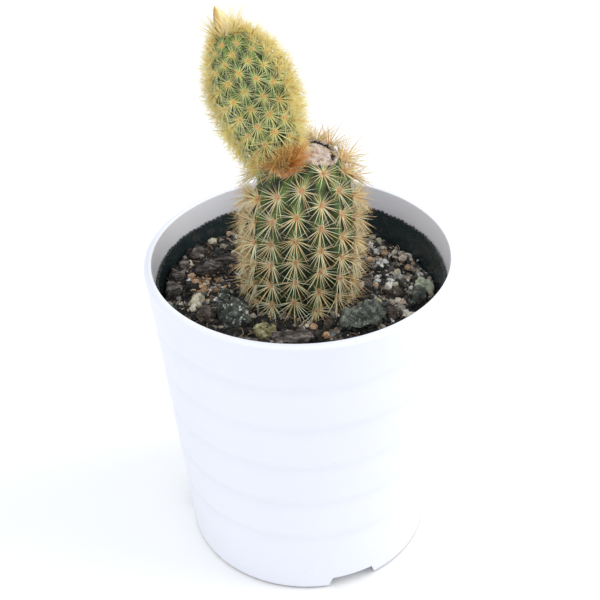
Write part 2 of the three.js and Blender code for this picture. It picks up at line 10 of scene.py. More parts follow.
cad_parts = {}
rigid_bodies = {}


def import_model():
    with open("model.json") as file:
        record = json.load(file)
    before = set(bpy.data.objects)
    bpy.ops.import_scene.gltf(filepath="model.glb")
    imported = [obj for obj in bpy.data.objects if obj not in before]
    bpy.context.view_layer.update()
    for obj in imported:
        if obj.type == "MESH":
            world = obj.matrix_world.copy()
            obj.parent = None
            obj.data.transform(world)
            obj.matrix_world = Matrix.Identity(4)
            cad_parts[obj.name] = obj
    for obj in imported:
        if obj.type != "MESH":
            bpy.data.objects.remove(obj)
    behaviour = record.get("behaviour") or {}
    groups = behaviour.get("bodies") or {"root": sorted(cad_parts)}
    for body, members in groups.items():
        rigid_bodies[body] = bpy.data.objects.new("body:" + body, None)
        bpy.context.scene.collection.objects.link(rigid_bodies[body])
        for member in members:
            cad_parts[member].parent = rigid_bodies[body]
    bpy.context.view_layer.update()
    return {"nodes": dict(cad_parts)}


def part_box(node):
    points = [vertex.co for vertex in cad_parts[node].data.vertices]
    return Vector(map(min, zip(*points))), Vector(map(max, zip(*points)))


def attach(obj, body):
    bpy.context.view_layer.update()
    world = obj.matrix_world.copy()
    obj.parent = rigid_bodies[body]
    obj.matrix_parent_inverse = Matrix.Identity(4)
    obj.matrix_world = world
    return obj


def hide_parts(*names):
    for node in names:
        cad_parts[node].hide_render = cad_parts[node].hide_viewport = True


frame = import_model()

bl_info = {
    "name": "Potted cactus",
    "version": (1, 0, 0),
    "blender": (4, 5, 0),
    "location": "3D View > Sidebar > Cactus",
    "description": "A cut-back cactus with one offset, in a nursery pot inside a white cover pot",
    "category": "Add Mesh",
}

MM = 0.001
FACE_UP = (0, 0, 1.0)
POT_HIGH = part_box("cover_pot")[1]
RIM_LOW, RIM_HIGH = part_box("nursery_pot")


# ---- sizes and colours a user may change -------------------------------------------------------
def length(name, description, millimetres):
    return FloatProperty(name=name, description=description, default=millimetres * MM,
                         subtype="DISTANCE", unit="LENGTH", precision=5)


def ratio(name, description, value):
    return FloatProperty(name=name, description=description, default=value, precision=4)


def angle(name, description, degrees):
    return FloatProperty(name=name, description=description, default=math.radians(degrees),
                         subtype="ANGLE", unit="ROTATION")


def count(name, description, value):
    return IntProperty(name=name, description=description, default=value, min=0)


def colour(name, description, red, green, blue):
    return FloatVectorProperty(name=name, description=description, default=(red, green, blue),
                               subtype="COLOR", size=3, min=0.0, max=1.0)


class PotSizes(bpy.types.PropertyGroup):
    """The cover pot and the nursery pot."""
    height: length("Height", "Lip of the cover pot above the ground", POT_HIGH[2] / MM)
    rim_radius: length("Rim radius", "Outside of the lip", POT_HIGH[0] / MM)
    foot_radius: length("Foot radius", "Outside of the foot on the ground", 46.2)
    wall: length("Wall", "Wall of the cover pot", 2.8)
    floor_height: length("Floor height", "Underside of the floor above the ground", 6.0)
    floor_thickness: length("Floor thickness", "Floor of the cover pot", 2.4)
    foot_ring: length("Foot ring", "Width of the ring it stands on", 3.4)
    bands: count("Bands", "Shallow rings pressed into the wall", 5)
    band_drop: length("Band drop", "Top ring below the lip", 19.1)
    band_spacing: length("Band spacing", "From ring to ring", 18.4)
    band_depth: length("Band depth", "Depth of each ring", 0.6)
    notches: count("Notches", "Drain notches in the foot", 3)
    notch_azimuth: angle("Notch azimuth", "First notch, from the front towards the right", 19.6)
    notch_width: length("Notch width", "Along the ground", 19.5)
    notch_top: length("Notch top", "Width at the top of the notch", 15.8)
    notch_height: length("Notch height", "Height of a notch", 5.2)
    drain_radius: length("Drain radius", "Holes in the floor", 4.0)
    drain_ring: length("Drain ring", "Circle of the outer holes", 24.0)
    drains: count("Drains", "Holes on the circle", 6)
    liner_wall: length("Liner wall", "Wall of the nursery pot", 0.9)
    liner_foot: length("Liner foot", "Radius of its foot", 37.9)
    liner_ragged: length("Liner ragged", "How far its cut rim wanders", 2.0)
    clearance: length("Clearance", "Gap between touching pieces", 0.35)


class StemSizes(bpy.types.PropertyGroup):
    """The cut-back main stem."""
    radius: length("Radius", "Thickest part, at the ribs", 17.9)
    foot_x: length("Foot across", "Foot from the pot's axis", -0.9)
    foot_y: length("Foot along", "Foot from the pot's axis", -1.0)
    lean: length("Lean", "Scar to the right of the foot", 7.4)
    height: length("Height", "From the mix to the scar", 54.7)
    buried: length("Buried", "Depth in the mix", 14.0)
    level: length("Mix level", "Middle of the mix above the ground", 105.3)
    ribs: count("Ribs", "Ribs round the stem", 14)
    rib_turn: angle("Rib turn", "First rib", 5)
    rib_depth: length("Rib depth", "Furrow below a rib", 2.0)
    areole_step: length("Areole step", "From areole to areole on a rib", 8.2)
    areole_start: length("Areole start", "Lowest areole from the buried end", 14.2)
    scar_radius: length("Scar radius", "The healed cut", 7.5)
    scar_right: angle("Scar right", "Tilt of the cut to the right", 12)
    scar_front: angle("Scar front", "Tilt of the cut to the front", 5)


class OffsetSizes(bpy.types.PropertyGroup):
    """The offset that grows from beside the scar."""
    length: length("Length", "From the joint to the tip", 47.5)
    radius: length("Radius", "Thickest part", 11.4)
    lean: angle("Lean", "From upright to the left", 15.5)
    reach_x: length("Reach across", "Joint from the scar", -13.1)
    reach_y: length("Reach along", "Joint from the scar", -4.0)
    reach_z: length("Reach up", "Joint from the scar", 0.3)
    root: length("Root", "How far it reaches into the stem", 6.0)
    ribs: count("Ribs", "Ribs round the offset", 16)
    rib_turn: angle("Rib turn", "First rib", -2)
    rib_depth: length("Rib depth", "Furrow below a rib", 1.1)
    stagger: ratio("Stagger", "Share of a step from rib to rib", 9 / 16)
    areole_step: length("Areole step", "Lowest step on a rib", 7.4)
    areole_shrink: ratio("Areole shrink", "Each step as a share of the one below", 0.93)
    areole_start: length("Areole start", "Lowest areole from the joint", 4.6)
    tuft_length: length("Tuft length", "Papery tuft beyond the tip", 8.0)
    tuft_radius: length("Tuft radius", "At its foot", 3.6)
    tuft_lean: angle("Tuft lean", "From upright to the left", 20)
    tuft_seat: length("Tuft seat", "Foot below the tip", 2.0)


class SpineSizes(bpy.types.PropertyGroup):
    """Spines, hairs and felt."""
    radials: count("Radials", "Radial spines of an areole", 22)
    radial_length: length("Radial length", "Typical radial spine", 7.3)
    centrals: count("Centrals", "Central spines of an areole", 9)
    central_length: length("Central length", "Typical central spine", 7.4)
    young_radials: count("Young radials", "Radial spines on the offset", 26)
    young_length: length("Young length", "Typical spine on the offset", 6.3)
    young_centrals: count("Young centrals", "Central spines on the offset", 18)
    seed: count("Seed", "Seed of every random draw", 11)


class Colours(bpy.types.PropertyGroup):
    """Base colours, linear."""
    pot: colour("Cover pot", "White plastic", 0.80, 0.815, 0.885)
    liner: colour("Nursery pot", "Black plastic", 0.020, 0.032, 0.034)
    stem: colour("Stem", "Green skin", 0.125, 0.235, 0.030)
    # The furrow colours are painted shade: they darken the furrows and the lower part of each stem.
    stem_furrow_shade: colour("Stem furrow", "Skin in the furrows", 0.006, 0.017, 0.004)
    offset: colour("Offset", "Fresh green skin", 0.16, 0.31, 0.025)
    offset_furrow_shade: colour("Offset furrow", "Skin in the furrows", 0.003, 0.010, 0.002)
    mix: colour("Mix", "Dark potting mix", 0.014, 0.013, 0.012)


# ---- plain helpers -----------------------------------------------------------------------------
def sizes(name):
    return getattr(bpy.context.scene, "cactus_" + name)


def new_object(name, points, faces):
    mesh = bpy.data.meshes.new(name)
    mesh.from_pydata([tuple(point) for point in points], [], [tuple(face) for face in faces])
    mesh.update()
    made = bpy.data.objects.new(name, mesh)
    bpy.context.scene.collection.objects.link(made)
    return made


def remove_object(thing):
    mesh = thing.data
    bpy.data.objects.remove(thing)
    bpy.data.meshes.remove(mesh)


def smooth_by_angle(thing, degrees):
    thing.data.shade_smooth()
    thing.data.set_sharp_from_angle(angle=math.radians(degrees))


def store(thing, name, values):
    """Keeps a number for each point under a name that materials and trees read."""
    layer = thing.data.attributes.new(name, "FLOAT", "POINT")
    layer.data.foreach_set("value", np.asarray(values, dtype=np.float32).ravel())


def store_vectors(thing, name, values):
    layer = thing.data.attributes.new(name, "FLOAT_VECTOR", "POINT")
    layer.data.foreach_set("vector", np.asarray(values, dtype=np.float32).ravel())


def baked(thing):
    """The evaluated shape as a plain mesh, with the modifiers gone."""
    graph = bpy.context.evaluated_depsgraph_get()
    graph.update()
    mesh = bpy.data.meshes.new_from_object(thing.evaluated_get(graph), depsgraph=graph)
    old = thing.data
    thing.modifiers.clear()
    thing.data = mesh
    bpy.data.meshes.remove(old)
    mesh.name = thing.name
    return thing


def finish_piece(thing, slot_name, material, *nodes):
    """Puts the material on a piece, hangs it on the root body and hides the CAD parts that it stands
    for.
    """
    thing.data.materials.clear()
    thing.data.materials.append(material)
    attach(thing, "root")
    if nodes:
        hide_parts(*nodes)
    return thing


def loft(rings, first_tip=None, last_tip=None):
    """Points and faces of a skin over closed rings, closed by a point at each end that is given."""
    rings = np.asarray(rings)
    rows, columns = rings.shape[:2]
    points = list(rings.reshape(-1, 3))
    here = np.arange(columns)
    after = (here + 1) % columns
    faces = []
    for row in range(rows - 1):
        low, high = row * columns, (row + 1) * columns
        faces += zip(low + here, low + after, high + after, high + here)
    if first_tip is not None:
        faces += [(len(points), after[i], here[i]) for i in range(columns)]
        points.append(np.asarray(first_tip))
    if last_tip is not None:
        top = (rows - 1) * columns
        faces += [(len(points), top + here[i], top + after[i]) for i in range(columns)]
        points.append(np.asarray(last_tip))
    return points, faces


def turned(profile, columns, radius_of=None, height_of=None):
    """Rings of a profile of [radius, height] points turned about Z, from the axis to the axis."""
    turns = np.linspace(0, 2 * math.pi, columns, endpoint=False)
    rings = []
    for radius, height in profile[1:-1]:
        radii = np.full(columns, radius) if radius_of is None else radius_of(radius, height, turns)
        heights = np.full(columns, height) if height_of is None else height_of(radius, height, turns)
        rings.append(np.stack([radii * np.cos(turns), radii * np.sin(turns), heights], axis=1))
    return loft(rings, (0, 0, profile[0][1]), (0, 0, profile[-1][1]))


def arc(centre, radius, first, last, steps):
    """Profile points round a centre, from one angle to another in degrees."""
    turns = np.radians(np.linspace(first, last, steps))
    return [(centre[0] + radius * math.cos(t), centre[1] + radius * math.sin(t)) for t in turns]


def rough(points, scale, octaves=4, seed=0.0):
    """Fractal noise, about -1 to 1, at each point."""
    shift = Vector((seed * 3.7, seed * 1.3, seed * 2.1))
    return np.array([noise.fractal(Vector(p) * scale + shift, 1.0, 2.0, octaves) for p in points])


# ---- Geometry Nodes helpers --------------------------------------------------------------------
def plug(tree, socket, value):
    """Links a socket to another node's output, or sets its plain value."""
    if isinstance(value, bpy.types.NodeSocket):
        tree.links.new(value, socket)
    else:
        socket.default_value = value


def new_node(tree, kind, inputs, settings):
    """Adds a node and fills its inputs by place or name."""
    node = tree.nodes.new(kind)
    for key, value in settings.items():
        setattr(node, key, value)
    for key, value in dict(inputs).items():
        plug(tree, node.inputs[key], value)
    return node


class NodeSheet:
    """A small hand for building a Geometry Nodes tree."""

    def __init__(self, name, fields):
        self.group = bpy.data.node_groups.new(name, "GeometryNodeTree")
        face = self.group.interface
        face.new_socket("Geometry", in_out="INPUT", socket_type="NodeSocketGeometry")
        face.new_socket("Geometry", in_out="OUTPUT", socket_type="NodeSocketGeometry")
        self.ids = {}
        for label, kind in fields:
            self.ids[label] = face.new_socket(label, in_out="INPUT", socket_type=kind).identifier
        self.inlet = self.group.nodes.new("NodeGroupInput")
        self.outlet = self.group.nodes.new("NodeGroupOutput")

    def given(self, label):
        return self.inlet.outputs[label]

    def add(self, kind, inputs=(), output=0, **settings):
        """Adds a node and returns one of its outputs."""
        return new_node(self.group, kind, inputs, settings).outputs[output]

    def maths(self, operation, first, second=0.0):
        return self.add("ShaderNodeMath", {0: first, 1: second}, operation=operation)

    def vector(self, operation, first, second):
        return self.add("ShaderNodeVectorMath", {0: first, 1: second}, operation=operation)

    def scaled(self, vector, factor):
        return self.add("ShaderNodeVectorMath", {0: vector, "Scale": factor}, operation="SCALE")

    def chance(self, low, high, seed):
        return self.add("FunctionNodeRandomValue", {2: low, 3: high, 8: seed}, output=1,
                        data_type="FLOAT")

    def named(self, name, kind="FLOAT"):
        return self.add("GeometryNodeInputNamedAttribute", {"Name": name}, data_type=kind)

    def keep(self, geometry, name, value):
        return self.add("GeometryNodeStoreNamedAttribute",
                        {"Geometry": geometry, "Name": name, "Value": value},
                        data_type="FLOAT", domain="POINT")

    def close(self, geometry, material):
        whole = self.add("GeometryNodeRealizeInstances", {"Geometry": geometry})
        dressed = self.add("GeometryNodeSetMaterial", {"Geometry": whole, "Material": material})
        self.group.links.new(dressed, self.outlet.inputs[0])

    def run(self, thing, **values):
        """Runs the tree on an object and leaves a plain mesh."""
        modifier = thing.modifiers.new(self.group.name, "NODES")
        modifier.node_group = self.group
        for label, value in values.items():
            modifier[self.ids[label.replace("_", " ").capitalize()]] = value
        return baked(thing)


SPINE_FIELDS = [
    ("Spines", "NodeSocketInt"), ("Length", "NodeSocketFloat"), ("Uneven", "NodeSocketFloat"),
    ("Lift", "NodeSocketFloat"), ("Lift spread", "NodeSocketFloat"), ("Bend", "NodeSocketFloat"),
    ("Thickness", "NodeSocketFloat"), ("Droop", "NodeSocketFloat"), ("Seed", "NodeSocketInt"),
    ("Material", "NodeSocketMaterial"),
]


def spine_tree(name, sides=5, segments=4):
    """A star of tapered needles at each areole, turned by its outward and upward directions."""
    sheet = NodeSheet(name, SPINE_FIELDS)
    seed = sheet.given("Seed")
    blunt, jostle = 0.12, 0.42
    needle = sheet.add("GeometryNodeMeshCone", {
        "Vertices": sides, "Side Segments": segments, "Radius Top": blunt, "Radius Bottom": 1.0,
        "Depth": 1.0}, fill_type="NGON")
    place = sheet.add("GeometryNodeInputPosition")
    parts = sheet.add("ShaderNodeSeparateXYZ", {0: place}, output=2)
    needle = sheet.keep(needle, "along", parts)
    slim = sheet.add("ShaderNodeCombineXYZ", {
        0: sheet.given("Thickness"), 1: sheet.given("Thickness"), 2: 1.0})
    slender = sheet.vector("MULTIPLY", place, slim)
    needle = sheet.add("GeometryNodeSetPosition", {"Geometry": needle, "Position": slender})
    bow = sheet.maths("MULTIPLY", sheet.maths("POWER", parts, 2.0), sheet.given("Bend"))
    needle = sheet.add("GeometryNodeSetPosition", {
        "Geometry": needle, "Offset": sheet.add("ShaderNodeCombineXYZ", {0: bow})})

    points = sheet.add("GeometryNodeMeshToPoints", {"Mesh": sheet.given("Geometry")})
    many = new_node(sheet.group, "GeometryNodeDuplicateElements",
                    {"Geometry": points, "Amount": sheet.given("Spines")}, {"domain": "POINT"})
    step = sheet.maths("ADD", many.outputs["Duplicate Index"],
                       sheet.chance(-jostle, jostle, seed))
    share = sheet.maths("DIVIDE", step, sheet.given("Spines"))
    turn = sheet.maths("MULTIPLY", sheet.maths("ADD", share, sheet.named("first_turn")), math.tau)
    out = sheet.named("face_out", "FLOAT_VECTOR")
    rise = sheet.named("face_up", "FLOAT_VECTOR")
    across = sheet.vector("CROSS_PRODUCT", out, rise)
    uprightness = sheet.maths("COSINE", turn)
    flat = sheet.vector("ADD", sheet.scaled(rise, uprightness),
                        sheet.scaled(across, sheet.maths("SINE", turn)))
    spread = sheet.maths("MULTIPLY", sheet.chance(-1.0, 1.0, sheet.maths("ADD", seed, 1)),
                         sheet.given("Lift spread"))
    lift = sheet.maths("ADD", sheet.given("Lift"), spread)
    heading = sheet.vector("ADD", sheet.scaled(flat, sheet.maths("COSINE", lift)),
                           sheet.scaled(out, sheet.maths("SINE", lift)))
    laid = sheet.add("FunctionNodeAlignRotationToVector", {"Vector": heading}, axis="Z")
    laid = sheet.add("FunctionNodeAlignRotationToVector", {"Rotation": laid, "Vector": out},
                     axis="X", pivot_axis="Z")
    uneven = sheet.maths("MULTIPLY", sheet.chance(-1.0, 1.0, sheet.maths("ADD", seed, 2)),
                         sheet.given("Uneven"))
    droop = sheet.maths("MULTIPLY", uprightness, sheet.given("Droop"))
    factor = sheet.maths("SUBTRACT", sheet.maths("ADD", uneven, 1.0), droop)
    size = sheet.maths("MULTIPLY", sheet.maths("MULTIPLY", factor, sheet.given("Length")),
                       sheet.named("vigour"))
    star = sheet.keep(many.outputs["Geometry"], "shade",
                      sheet.chance(0.0, 1.0, sheet.maths("ADD", seed, 3)))
    stars = sheet.add("GeometryNodeInstanceOnPoints", {
        "Points": star, "Instance": needle, "Rotation": laid, "Scale": size})
    sheet.close(stars, sheet.given("Material"))
    return sheet


def areole_cloud(name, areoles, seed):
    """A loose point for each areole, with what the spine trees read from it."""
    draws = np.random.default_rng(seed)
    cloud = new_object(name, [a["place"] for a in areoles], [])
    store_vectors(cloud, "face_out", [a["out"] for a in areoles])
    store_vectors(cloud, "face_up", [a["up"] for a in areoles])
    store(cloud, "vigour", [a["vigour"] for a in areoles])
    store(cloud, "first_turn", draws.random(len(areoles)))
    return cloud


# ---- material helpers --------------------------------------------------------------------------
def opaque(value):
    """A colour with its alpha; a socket stays as it is."""
    return value if isinstance(value, bpy.types.NodeSocket) else (*value, 1.0)


class Finish:
    """A small hand for building a procedural material round one Principled shader."""

    def __init__(self, name, roughness=0.5, **sockets):
        self.material = bpy.data.materials.new(name)
        self.material.use_nodes = True
        self.tree = self.material.node_tree
        self.shader = self.tree.nodes["Principled BSDF"]
        self.shader.inputs["Roughness"].default_value = roughness
        for key, value in sockets.items():
            self.shader.inputs[key.replace("_", " ")].default_value = value
        self.coords = self.add("ShaderNodeTexCoord").outputs["Object"]

    def add(self, kind, inputs=(), **settings):
        return new_node(self.tree, kind, inputs, settings)

    def noise(self, scale, detail=4.0, roughness=0.55, stretch=None):
        vector = self.coords
        if stretch is not None:
            vector = self.add("ShaderNodeMapping", {"Vector": vector, "Scale": stretch}).outputs[0]
        return self.add("ShaderNodeTexNoise", {
            "Vector": vector, "Scale": scale, "Detail": detail, "Roughness": roughness}).outputs[0]

    def cells(self, scale, output="Distance"):
        return self.add("ShaderNodeTexVoronoi",
                        {"Vector": self.coords, "Scale": scale}).outputs[output]

    def attribute(self, name):
        return self.add("ShaderNodeAttribute", attribute_name=name).outputs["Fac"]

    def maths(self, operation, first, second=0.0):
        return self.add("ShaderNodeMath", {0: first, 1: second}, operation=operation).outputs[0]

    def spread(self, value, low, high, to_low=0.0, to_high=1.0):
        return self.add("ShaderNodeMapRange", {
            0: value, 1: low, 2: high, 3: to_low, 4: to_high}).outputs[0]

    def ramp(self, value, stops, constant=False):
        node = self.add("ShaderNodeValToRGB", {0: value})
        band = node.color_ramp
        band.interpolation = "CONSTANT" if constant else "LINEAR"
        while len(band.elements) < len(stops):
            band.elements.new(0.5)
        for element, (position, shade) in zip(band.elements, stops):
            element.position = position
            element.color = (*shade, 1.0)
        return node.outputs[0]

    def mix(self, factor, first, second, blend="MIX"):
        """Two colours mixed; the numbered sockets are the colour ones of the node."""
        node = self.add("ShaderNodeMix", {"Factor": factor, 6: opaque(first), 7: opaque(second)},
                        data_type="RGBA", blend_type=blend)
        return node.outputs[2]

    def mottled(self, tone, clouds, low, high):
        """A tone made darker and lighter in soft patches."""
        light = self.spread(clouds, 0.3, 0.7, low, high)
        grey = self.add("ShaderNodeCombineColor", {0: light, 1: light, 2: light}).outputs[0]
        return self.mix(1.0, tone, grey, "MULTIPLY")

    def colour(self, value):
        plug(self.tree, self.shader.inputs["Base Color"], opaque(value))

    def rough(self, value):
        self.tree.links.new(value, self.shader.inputs["Roughness"])

    def bump(self, height, distance, strength=1.0):
        node = self.add("ShaderNodeBump", {"Height": height, "Distance": distance,
                                           "Strength": strength})
        self.tree.links.new(node.outputs[0], self.shader.inputs["Normal"])
        return self.material


# ---- materials ---------------------------------------------------------------------------------
def painted_shade_in_rings(finish, height):
    """How much painted shade darkens a height in the soft rings pressed into the cover pot."""
    pot = sizes("pot")
    shade, half_ring, fade = 0.20, 0.20, 0.2
    below = finish.maths("SUBTRACT", pot.height - pot.band_drop, height)
    rings = finish.maths("DIVIDE", below, pot.band_spacing)
    groove_shade = finish.spread(finish.maths("PINGPONG", rings, 0.5), 0.02, half_ring, shade, 0.0)
    last = pot.bands - 0.5
    among = finish.maths("MULTIPLY", finish.spread(rings, -0.5, fade - 0.5),
                         finish.spread(rings, last - fade, last, 1.0, 0.0))
    return finish.maths("MULTIPLY", groove_shade, among)


def inside_wall(finish, x, y, height):
    """1 on the inner face of the cover pot's wall and 0 on its outer face."""
    pot = sizes("pot")
    reach = finish.maths("SQRT", finish.maths("ADD", finish.maths("MULTIPLY", x, x),
                                              finish.maths("MULTIPLY", y, y)))
    slope = (pot.rim_radius - pot.foot_radius) / pot.height
    outside = finish.maths("ADD", finish.maths("MULTIPLY", height, slope), pot.foot_radius)
    deep = finish.maths("SUBTRACT", outside, reach)
    return finish.spread(deep, pot.wall * 0.5, pot.wall * 0.9)


def white_plastic():
    """Glossy moulded plastic, very slightly uneven, with a few crumbs of dust, painted shade in its
    rings, a painted shadow at its foot and painted light inside.
    """
    pot, base = sizes("pot"), tuple(sizes("colours").pot)
    finish = Finish("White plastic", 0.3, Specular_IOR_Level=0.5, Subsurface_Weight=0.05,
                    Subsurface_Scale=4 * MM)
    crumb, painted_foot_shadow = (0.30, 0.24, 0.19), (0.15, 0.12, 0.095)
    painted_ring_colour, shaded_back, lit_sides = ([share * c for c in base] for share in (0.86, 0.96, 1.16))
    tone = finish.mix(finish.spread(finish.noise(22, 3), 0.3, 0.7), [0.97 * c for c in base], base)
    specks = finish.spread(finish.cells(300), 0.05, 0.075, 1.0, 0.0)
    sparse = finish.spread(finish.noise(70, 1), 0.64, 0.66)
    dust = finish.maths("MULTIPLY", finish.maths("MULTIPLY", specks, sparse), 0.4)
    tone = finish.mix(dust, tone, crumb)
    x, y, height = finish.add("ShaderNodeSeparateXYZ", {0: finish.coords}).outputs
    # Painted light and shade: the inner wall is lighter at the sides and darker at the back.
    painted_side_light = finish.spread(finish.maths("ABSOLUTE", x), pot.foot_radius * 0.45, pot.foot_radius)
    inner = finish.mix(painted_side_light, shaded_back, [min(1.0, c) for c in lit_sides])
    tone = finish.mix(inside_wall(finish, x, y, height), tone, inner)
    # Painted shade: the colour is darkened in the pressed rings.
    tone = finish.mix(painted_shade_in_rings(finish, height), tone, painted_ring_colour)
    # Painted shadow: a dark band along the bottom of the foot, where it meets the floor.
    foot = finish.spread(height, 0.4 * MM, 1.1 * MM, 0.9, 0.0)
    finish.colour(finish.mix(foot, tone, painted_foot_shadow))
    finish.rough(finish.spread(finish.noise(45, 2), 0.3, 0.7, 0.30, 0.38))
    return finish.bump(finish.noise(26, 1), 0.1 * MM, 0.12)


def black_plastic():
    """Thin black plastic with faint draw lines and dust from the mix."""
    finish = Finish("Black plastic", 0.45, Specular_IOR_Level=0.5)
    base = tuple(sizes("colours").liner)
    dust = finish.maths("MULTIPLY", finish.spread(finish.noise(260, 5, 0.7), 0.52, 0.74),
                        finish.spread(finish.noise(45, 2), 0.35, 0.65))
    soil, along_the_wall = (0.17, 0.14, 0.12), (0.25, 0.25, 9.0)
    finish.colour(finish.mix(finish.maths("MULTIPLY", dust, 0.35), base, soil))
    finish.rough(finish.spread(dust, 0, 1, 0.26, 0.72))
    return finish.bump(finish.noise(38, 3, 0.5, along_the_wall), 0.6 * MM, 0.6)


def potting_mix():
    """Nearly black damp fines with brown crumbs."""
    finish = Finish("Potting mix", 0.9)
    base = tuple(sizes("colours").mix)
    crumb_scale = 620
    crumbs = finish.cells(crumb_scale, "Color")
    tint = finish.ramp(finish.add("ShaderNodeSeparateColor", {0: crumbs}).outputs[0], [
        (0.0, tuple(0.5 * c for c in base)), (0.45, base), (0.75, (0.038, 0.032, 0.026)),
        (0.95, (0.11, 0.095, 0.075))])
    finish.colour(tint)
    grain = finish.maths("ADD", finish.cells(crumb_scale), finish.noise(900, 5, 0.7))
    return finish.bump(grain, 1.2 * MM, 1.0)


def skin(name, light, dark, scale, low, high):
    """Waxy skin with the fine pale dots of its pores, and painted shade: dark in the furrows and low
    down.
    """
    finish = Finish(name, 0.5, Subsurface_Weight=0.12, Subsurface_Scale=2 * MM,
                    Subsurface_Radius=(0.4, 1.0, 0.2))
    crest = finish.attribute("crest")
    patchy = finish.maths("ADD", crest, finish.spread(finish.noise(scale, 3), 0.3, 0.7, -0.25, 0.25))
    height = finish.add("ShaderNodeSeparateXYZ", {0: finish.coords}).outputs[2]
    # Painted shade: the skin darkens below a height, and in the furrows away from the crests.
    old = finish.spread(height, low, high, 0.30, 1.0)
    body = finish.mix(finish.maths("MULTIPLY", finish.spread(patchy, 0.1, 0.95), old), dark, light)
    pores = finish.spread(finish.cells(scale * 9), 0.0, 0.28, 0.35, 0.0)
    pale = tuple(min(1.0, 1.6 * c + 0.06) for c in light)
    finish.colour(finish.mix(pores, body, pale))
    finish.rough(finish.spread(finish.noise(scale * 3, 3), 0.3, 0.7, 0.42, 0.62))
    return finish.bump(finish.noise(scale * 6, 3), 0.3 * MM, 0.6)


def spine_horn(name, root, middle, tip, second, share, translucent=0.15):
    """Horny needles, darker at the root, some of a second colour."""
    finish = Finish(name, 0.42, Subsurface_Weight=translucent, Subsurface_Scale=1.5 * MM)
    along = finish.attribute("along")
    shade = finish.attribute("shade")
    run = finish.ramp(along, [(0.0, root), (0.16, middle), (0.75, middle), (1.0, tip)])
    other = finish.ramp(along, [(0.0, root), (0.2, second), (1.0, tip)])
    pick = finish.spread(shade, share - 0.12, share + 0.12)
    tone = finish.mix(pick, other, run)
    finish.colour(finish.mottled(tone, finish.noise(90, 2), 0.8, 1.12))
    return finish.bump(finish.noise(2500, 2, 0.5), 0.05 * MM, 0.4)


def felt(name, dark, light):
    """Short matted wool."""
    finish = Finish(name, 0.95, Sheen_Weight=0.4, Sheen_Roughness=0.5)
    strands = finish.noise(1400, 4, 0.7)
    finish.colour(finish.mix(finish.spread(strands, 0.3, 0.7), dark, light))
    return finish.bump(strands, 0.6 * MM, 1.0)


def scar_cork():
    """Dry pinkish cork over a healed cut, with dark splits near its edge."""
    finish = Finish("Scar cork", 0.85)
    grain = finish.noise(520, 5, 0.7)
    tone = finish.ramp(grain, [(0.34, (0.26, 0.16, 0.12)), (0.47, (0.60, 0.45, 0.38)),
                               (0.60, (0.84, 0.74, 0.66))])
    splits = finish.attribute("split")
    finish.colour(finish.mix(splits, tone, (0.012, 0.007, 0.005)))
    return finish.bump(grain, 1.3 * MM, 1.0)


def papery_tuft():
    """Dry translucent bracts, pale at the foot and golden towards the point, with painted light on the
    right and a painted shaded edge on the left.
    """
    finish = Finish("Papery tuft", 0.6, Subsurface_Weight=0.25, Subsurface_Scale=2 * MM)
    along = finish.attribute("along")
    streaks = finish.noise(160, 4, 0.6, (6.0, 6.0, 0.7))
    shaded_edge, streak = (0.22, 0.15, 0.05), (0.50, 0.33, 0.10)
    run = finish.ramp(along, [(0.0, (0.66, 0.48, 0.30)), (0.35, (0.76, 0.54, 0.22)),
                              (0.7, (0.80, 0.56, 0.16)), (1.0, (0.46, 0.30, 0.08))])
    pale = finish.ramp(along, [(0.0, (0.86, 0.76, 0.52)), (0.8, (0.96, 0.84, 0.46))])
    # Painted light: the lit right side is paler, and the left side gets a painted shaded edge.
    tone = finish.mix(finish.spread(finish.attribute("lit"), 0.35, 0.75), run, pale)
    edge = finish.spread(finish.attribute("lit"), 0.0, 0.2, 0.9, 0.0)
    tone = finish.mix(edge, tone, shaded_edge)
    finish.colour(finish.mix(finish.spread(streaks, 0.4, 0.7, 0.0, 0.6), tone, streak))
    return finish.bump(streaks, 0.6 * MM, 0.8)


def grains(name, stops):
    """Loose grains, each of its own colour."""
    finish = Finish(name, 0.9)
    tone = finish.ramp(finish.attribute("shade"), stops, constant=True)
    finish.colour(finish.mottled(tone, finish.noise(900, 3), 0.7, 1.2))
    return finish.bump(finish.noise(1500, 4, 0.7), 0.3 * MM, 0.8)


def stone(name, dark, middle, light, fleck=None, fleck_share=0.7):
    """Rough stone of three tones, with lighter flecks where asked."""
    finish = Finish(name, 0.8)
    broad = finish.noise(420, 6, 0.72)
    tone = finish.ramp(broad, [(0.36, dark), (0.49, middle), (0.63, light)])
    if fleck is not None:
        spots = finish.spread(finish.noise(620, 3, 0.6), fleck_share - 0.04, fleck_share + 0.03)
        tone = finish.mix(spots, tone, fleck)
    finish.colour(tone)
    finish.rough(finish.spread(broad, 0.3, 0.7, 0.65, 0.95))
    return finish.bump(finish.noise(700, 6, 0.72), 1.1 * MM, 1.0)


def bark_chip():
    """Weathered bark with long fibres."""
    finish = Finish("Bark", 0.88)
    lengthwise = (0.3, 1.5, 1.5)
    fibres = finish.noise(430, 6, 0.7, lengthwise)
    tone = finish.ramp(fibres, [(0.34, (0.009, 0.008, 0.008)), (0.46, (0.050, 0.042, 0.038)),
                                (0.56, (0.16, 0.135, 0.12)), (0.68, (0.44, 0.39, 0.35))])
    finish.colour(tone)
    return finish.bump(fibres, 1.4 * MM, 1.0)


# ---- the two pots ------------------------------------------------------------------------------
def pot_outer(height):
    """Outer radius of the cover pot at a height, leaving out its rings."""
    pot = sizes("pot")
    return pot.foot_radius + (pot.rim_radius - pot.foot_radius) * height / pot.height


def pot_inner(height):
    return pot_outer(height) - sizes("pot").wall


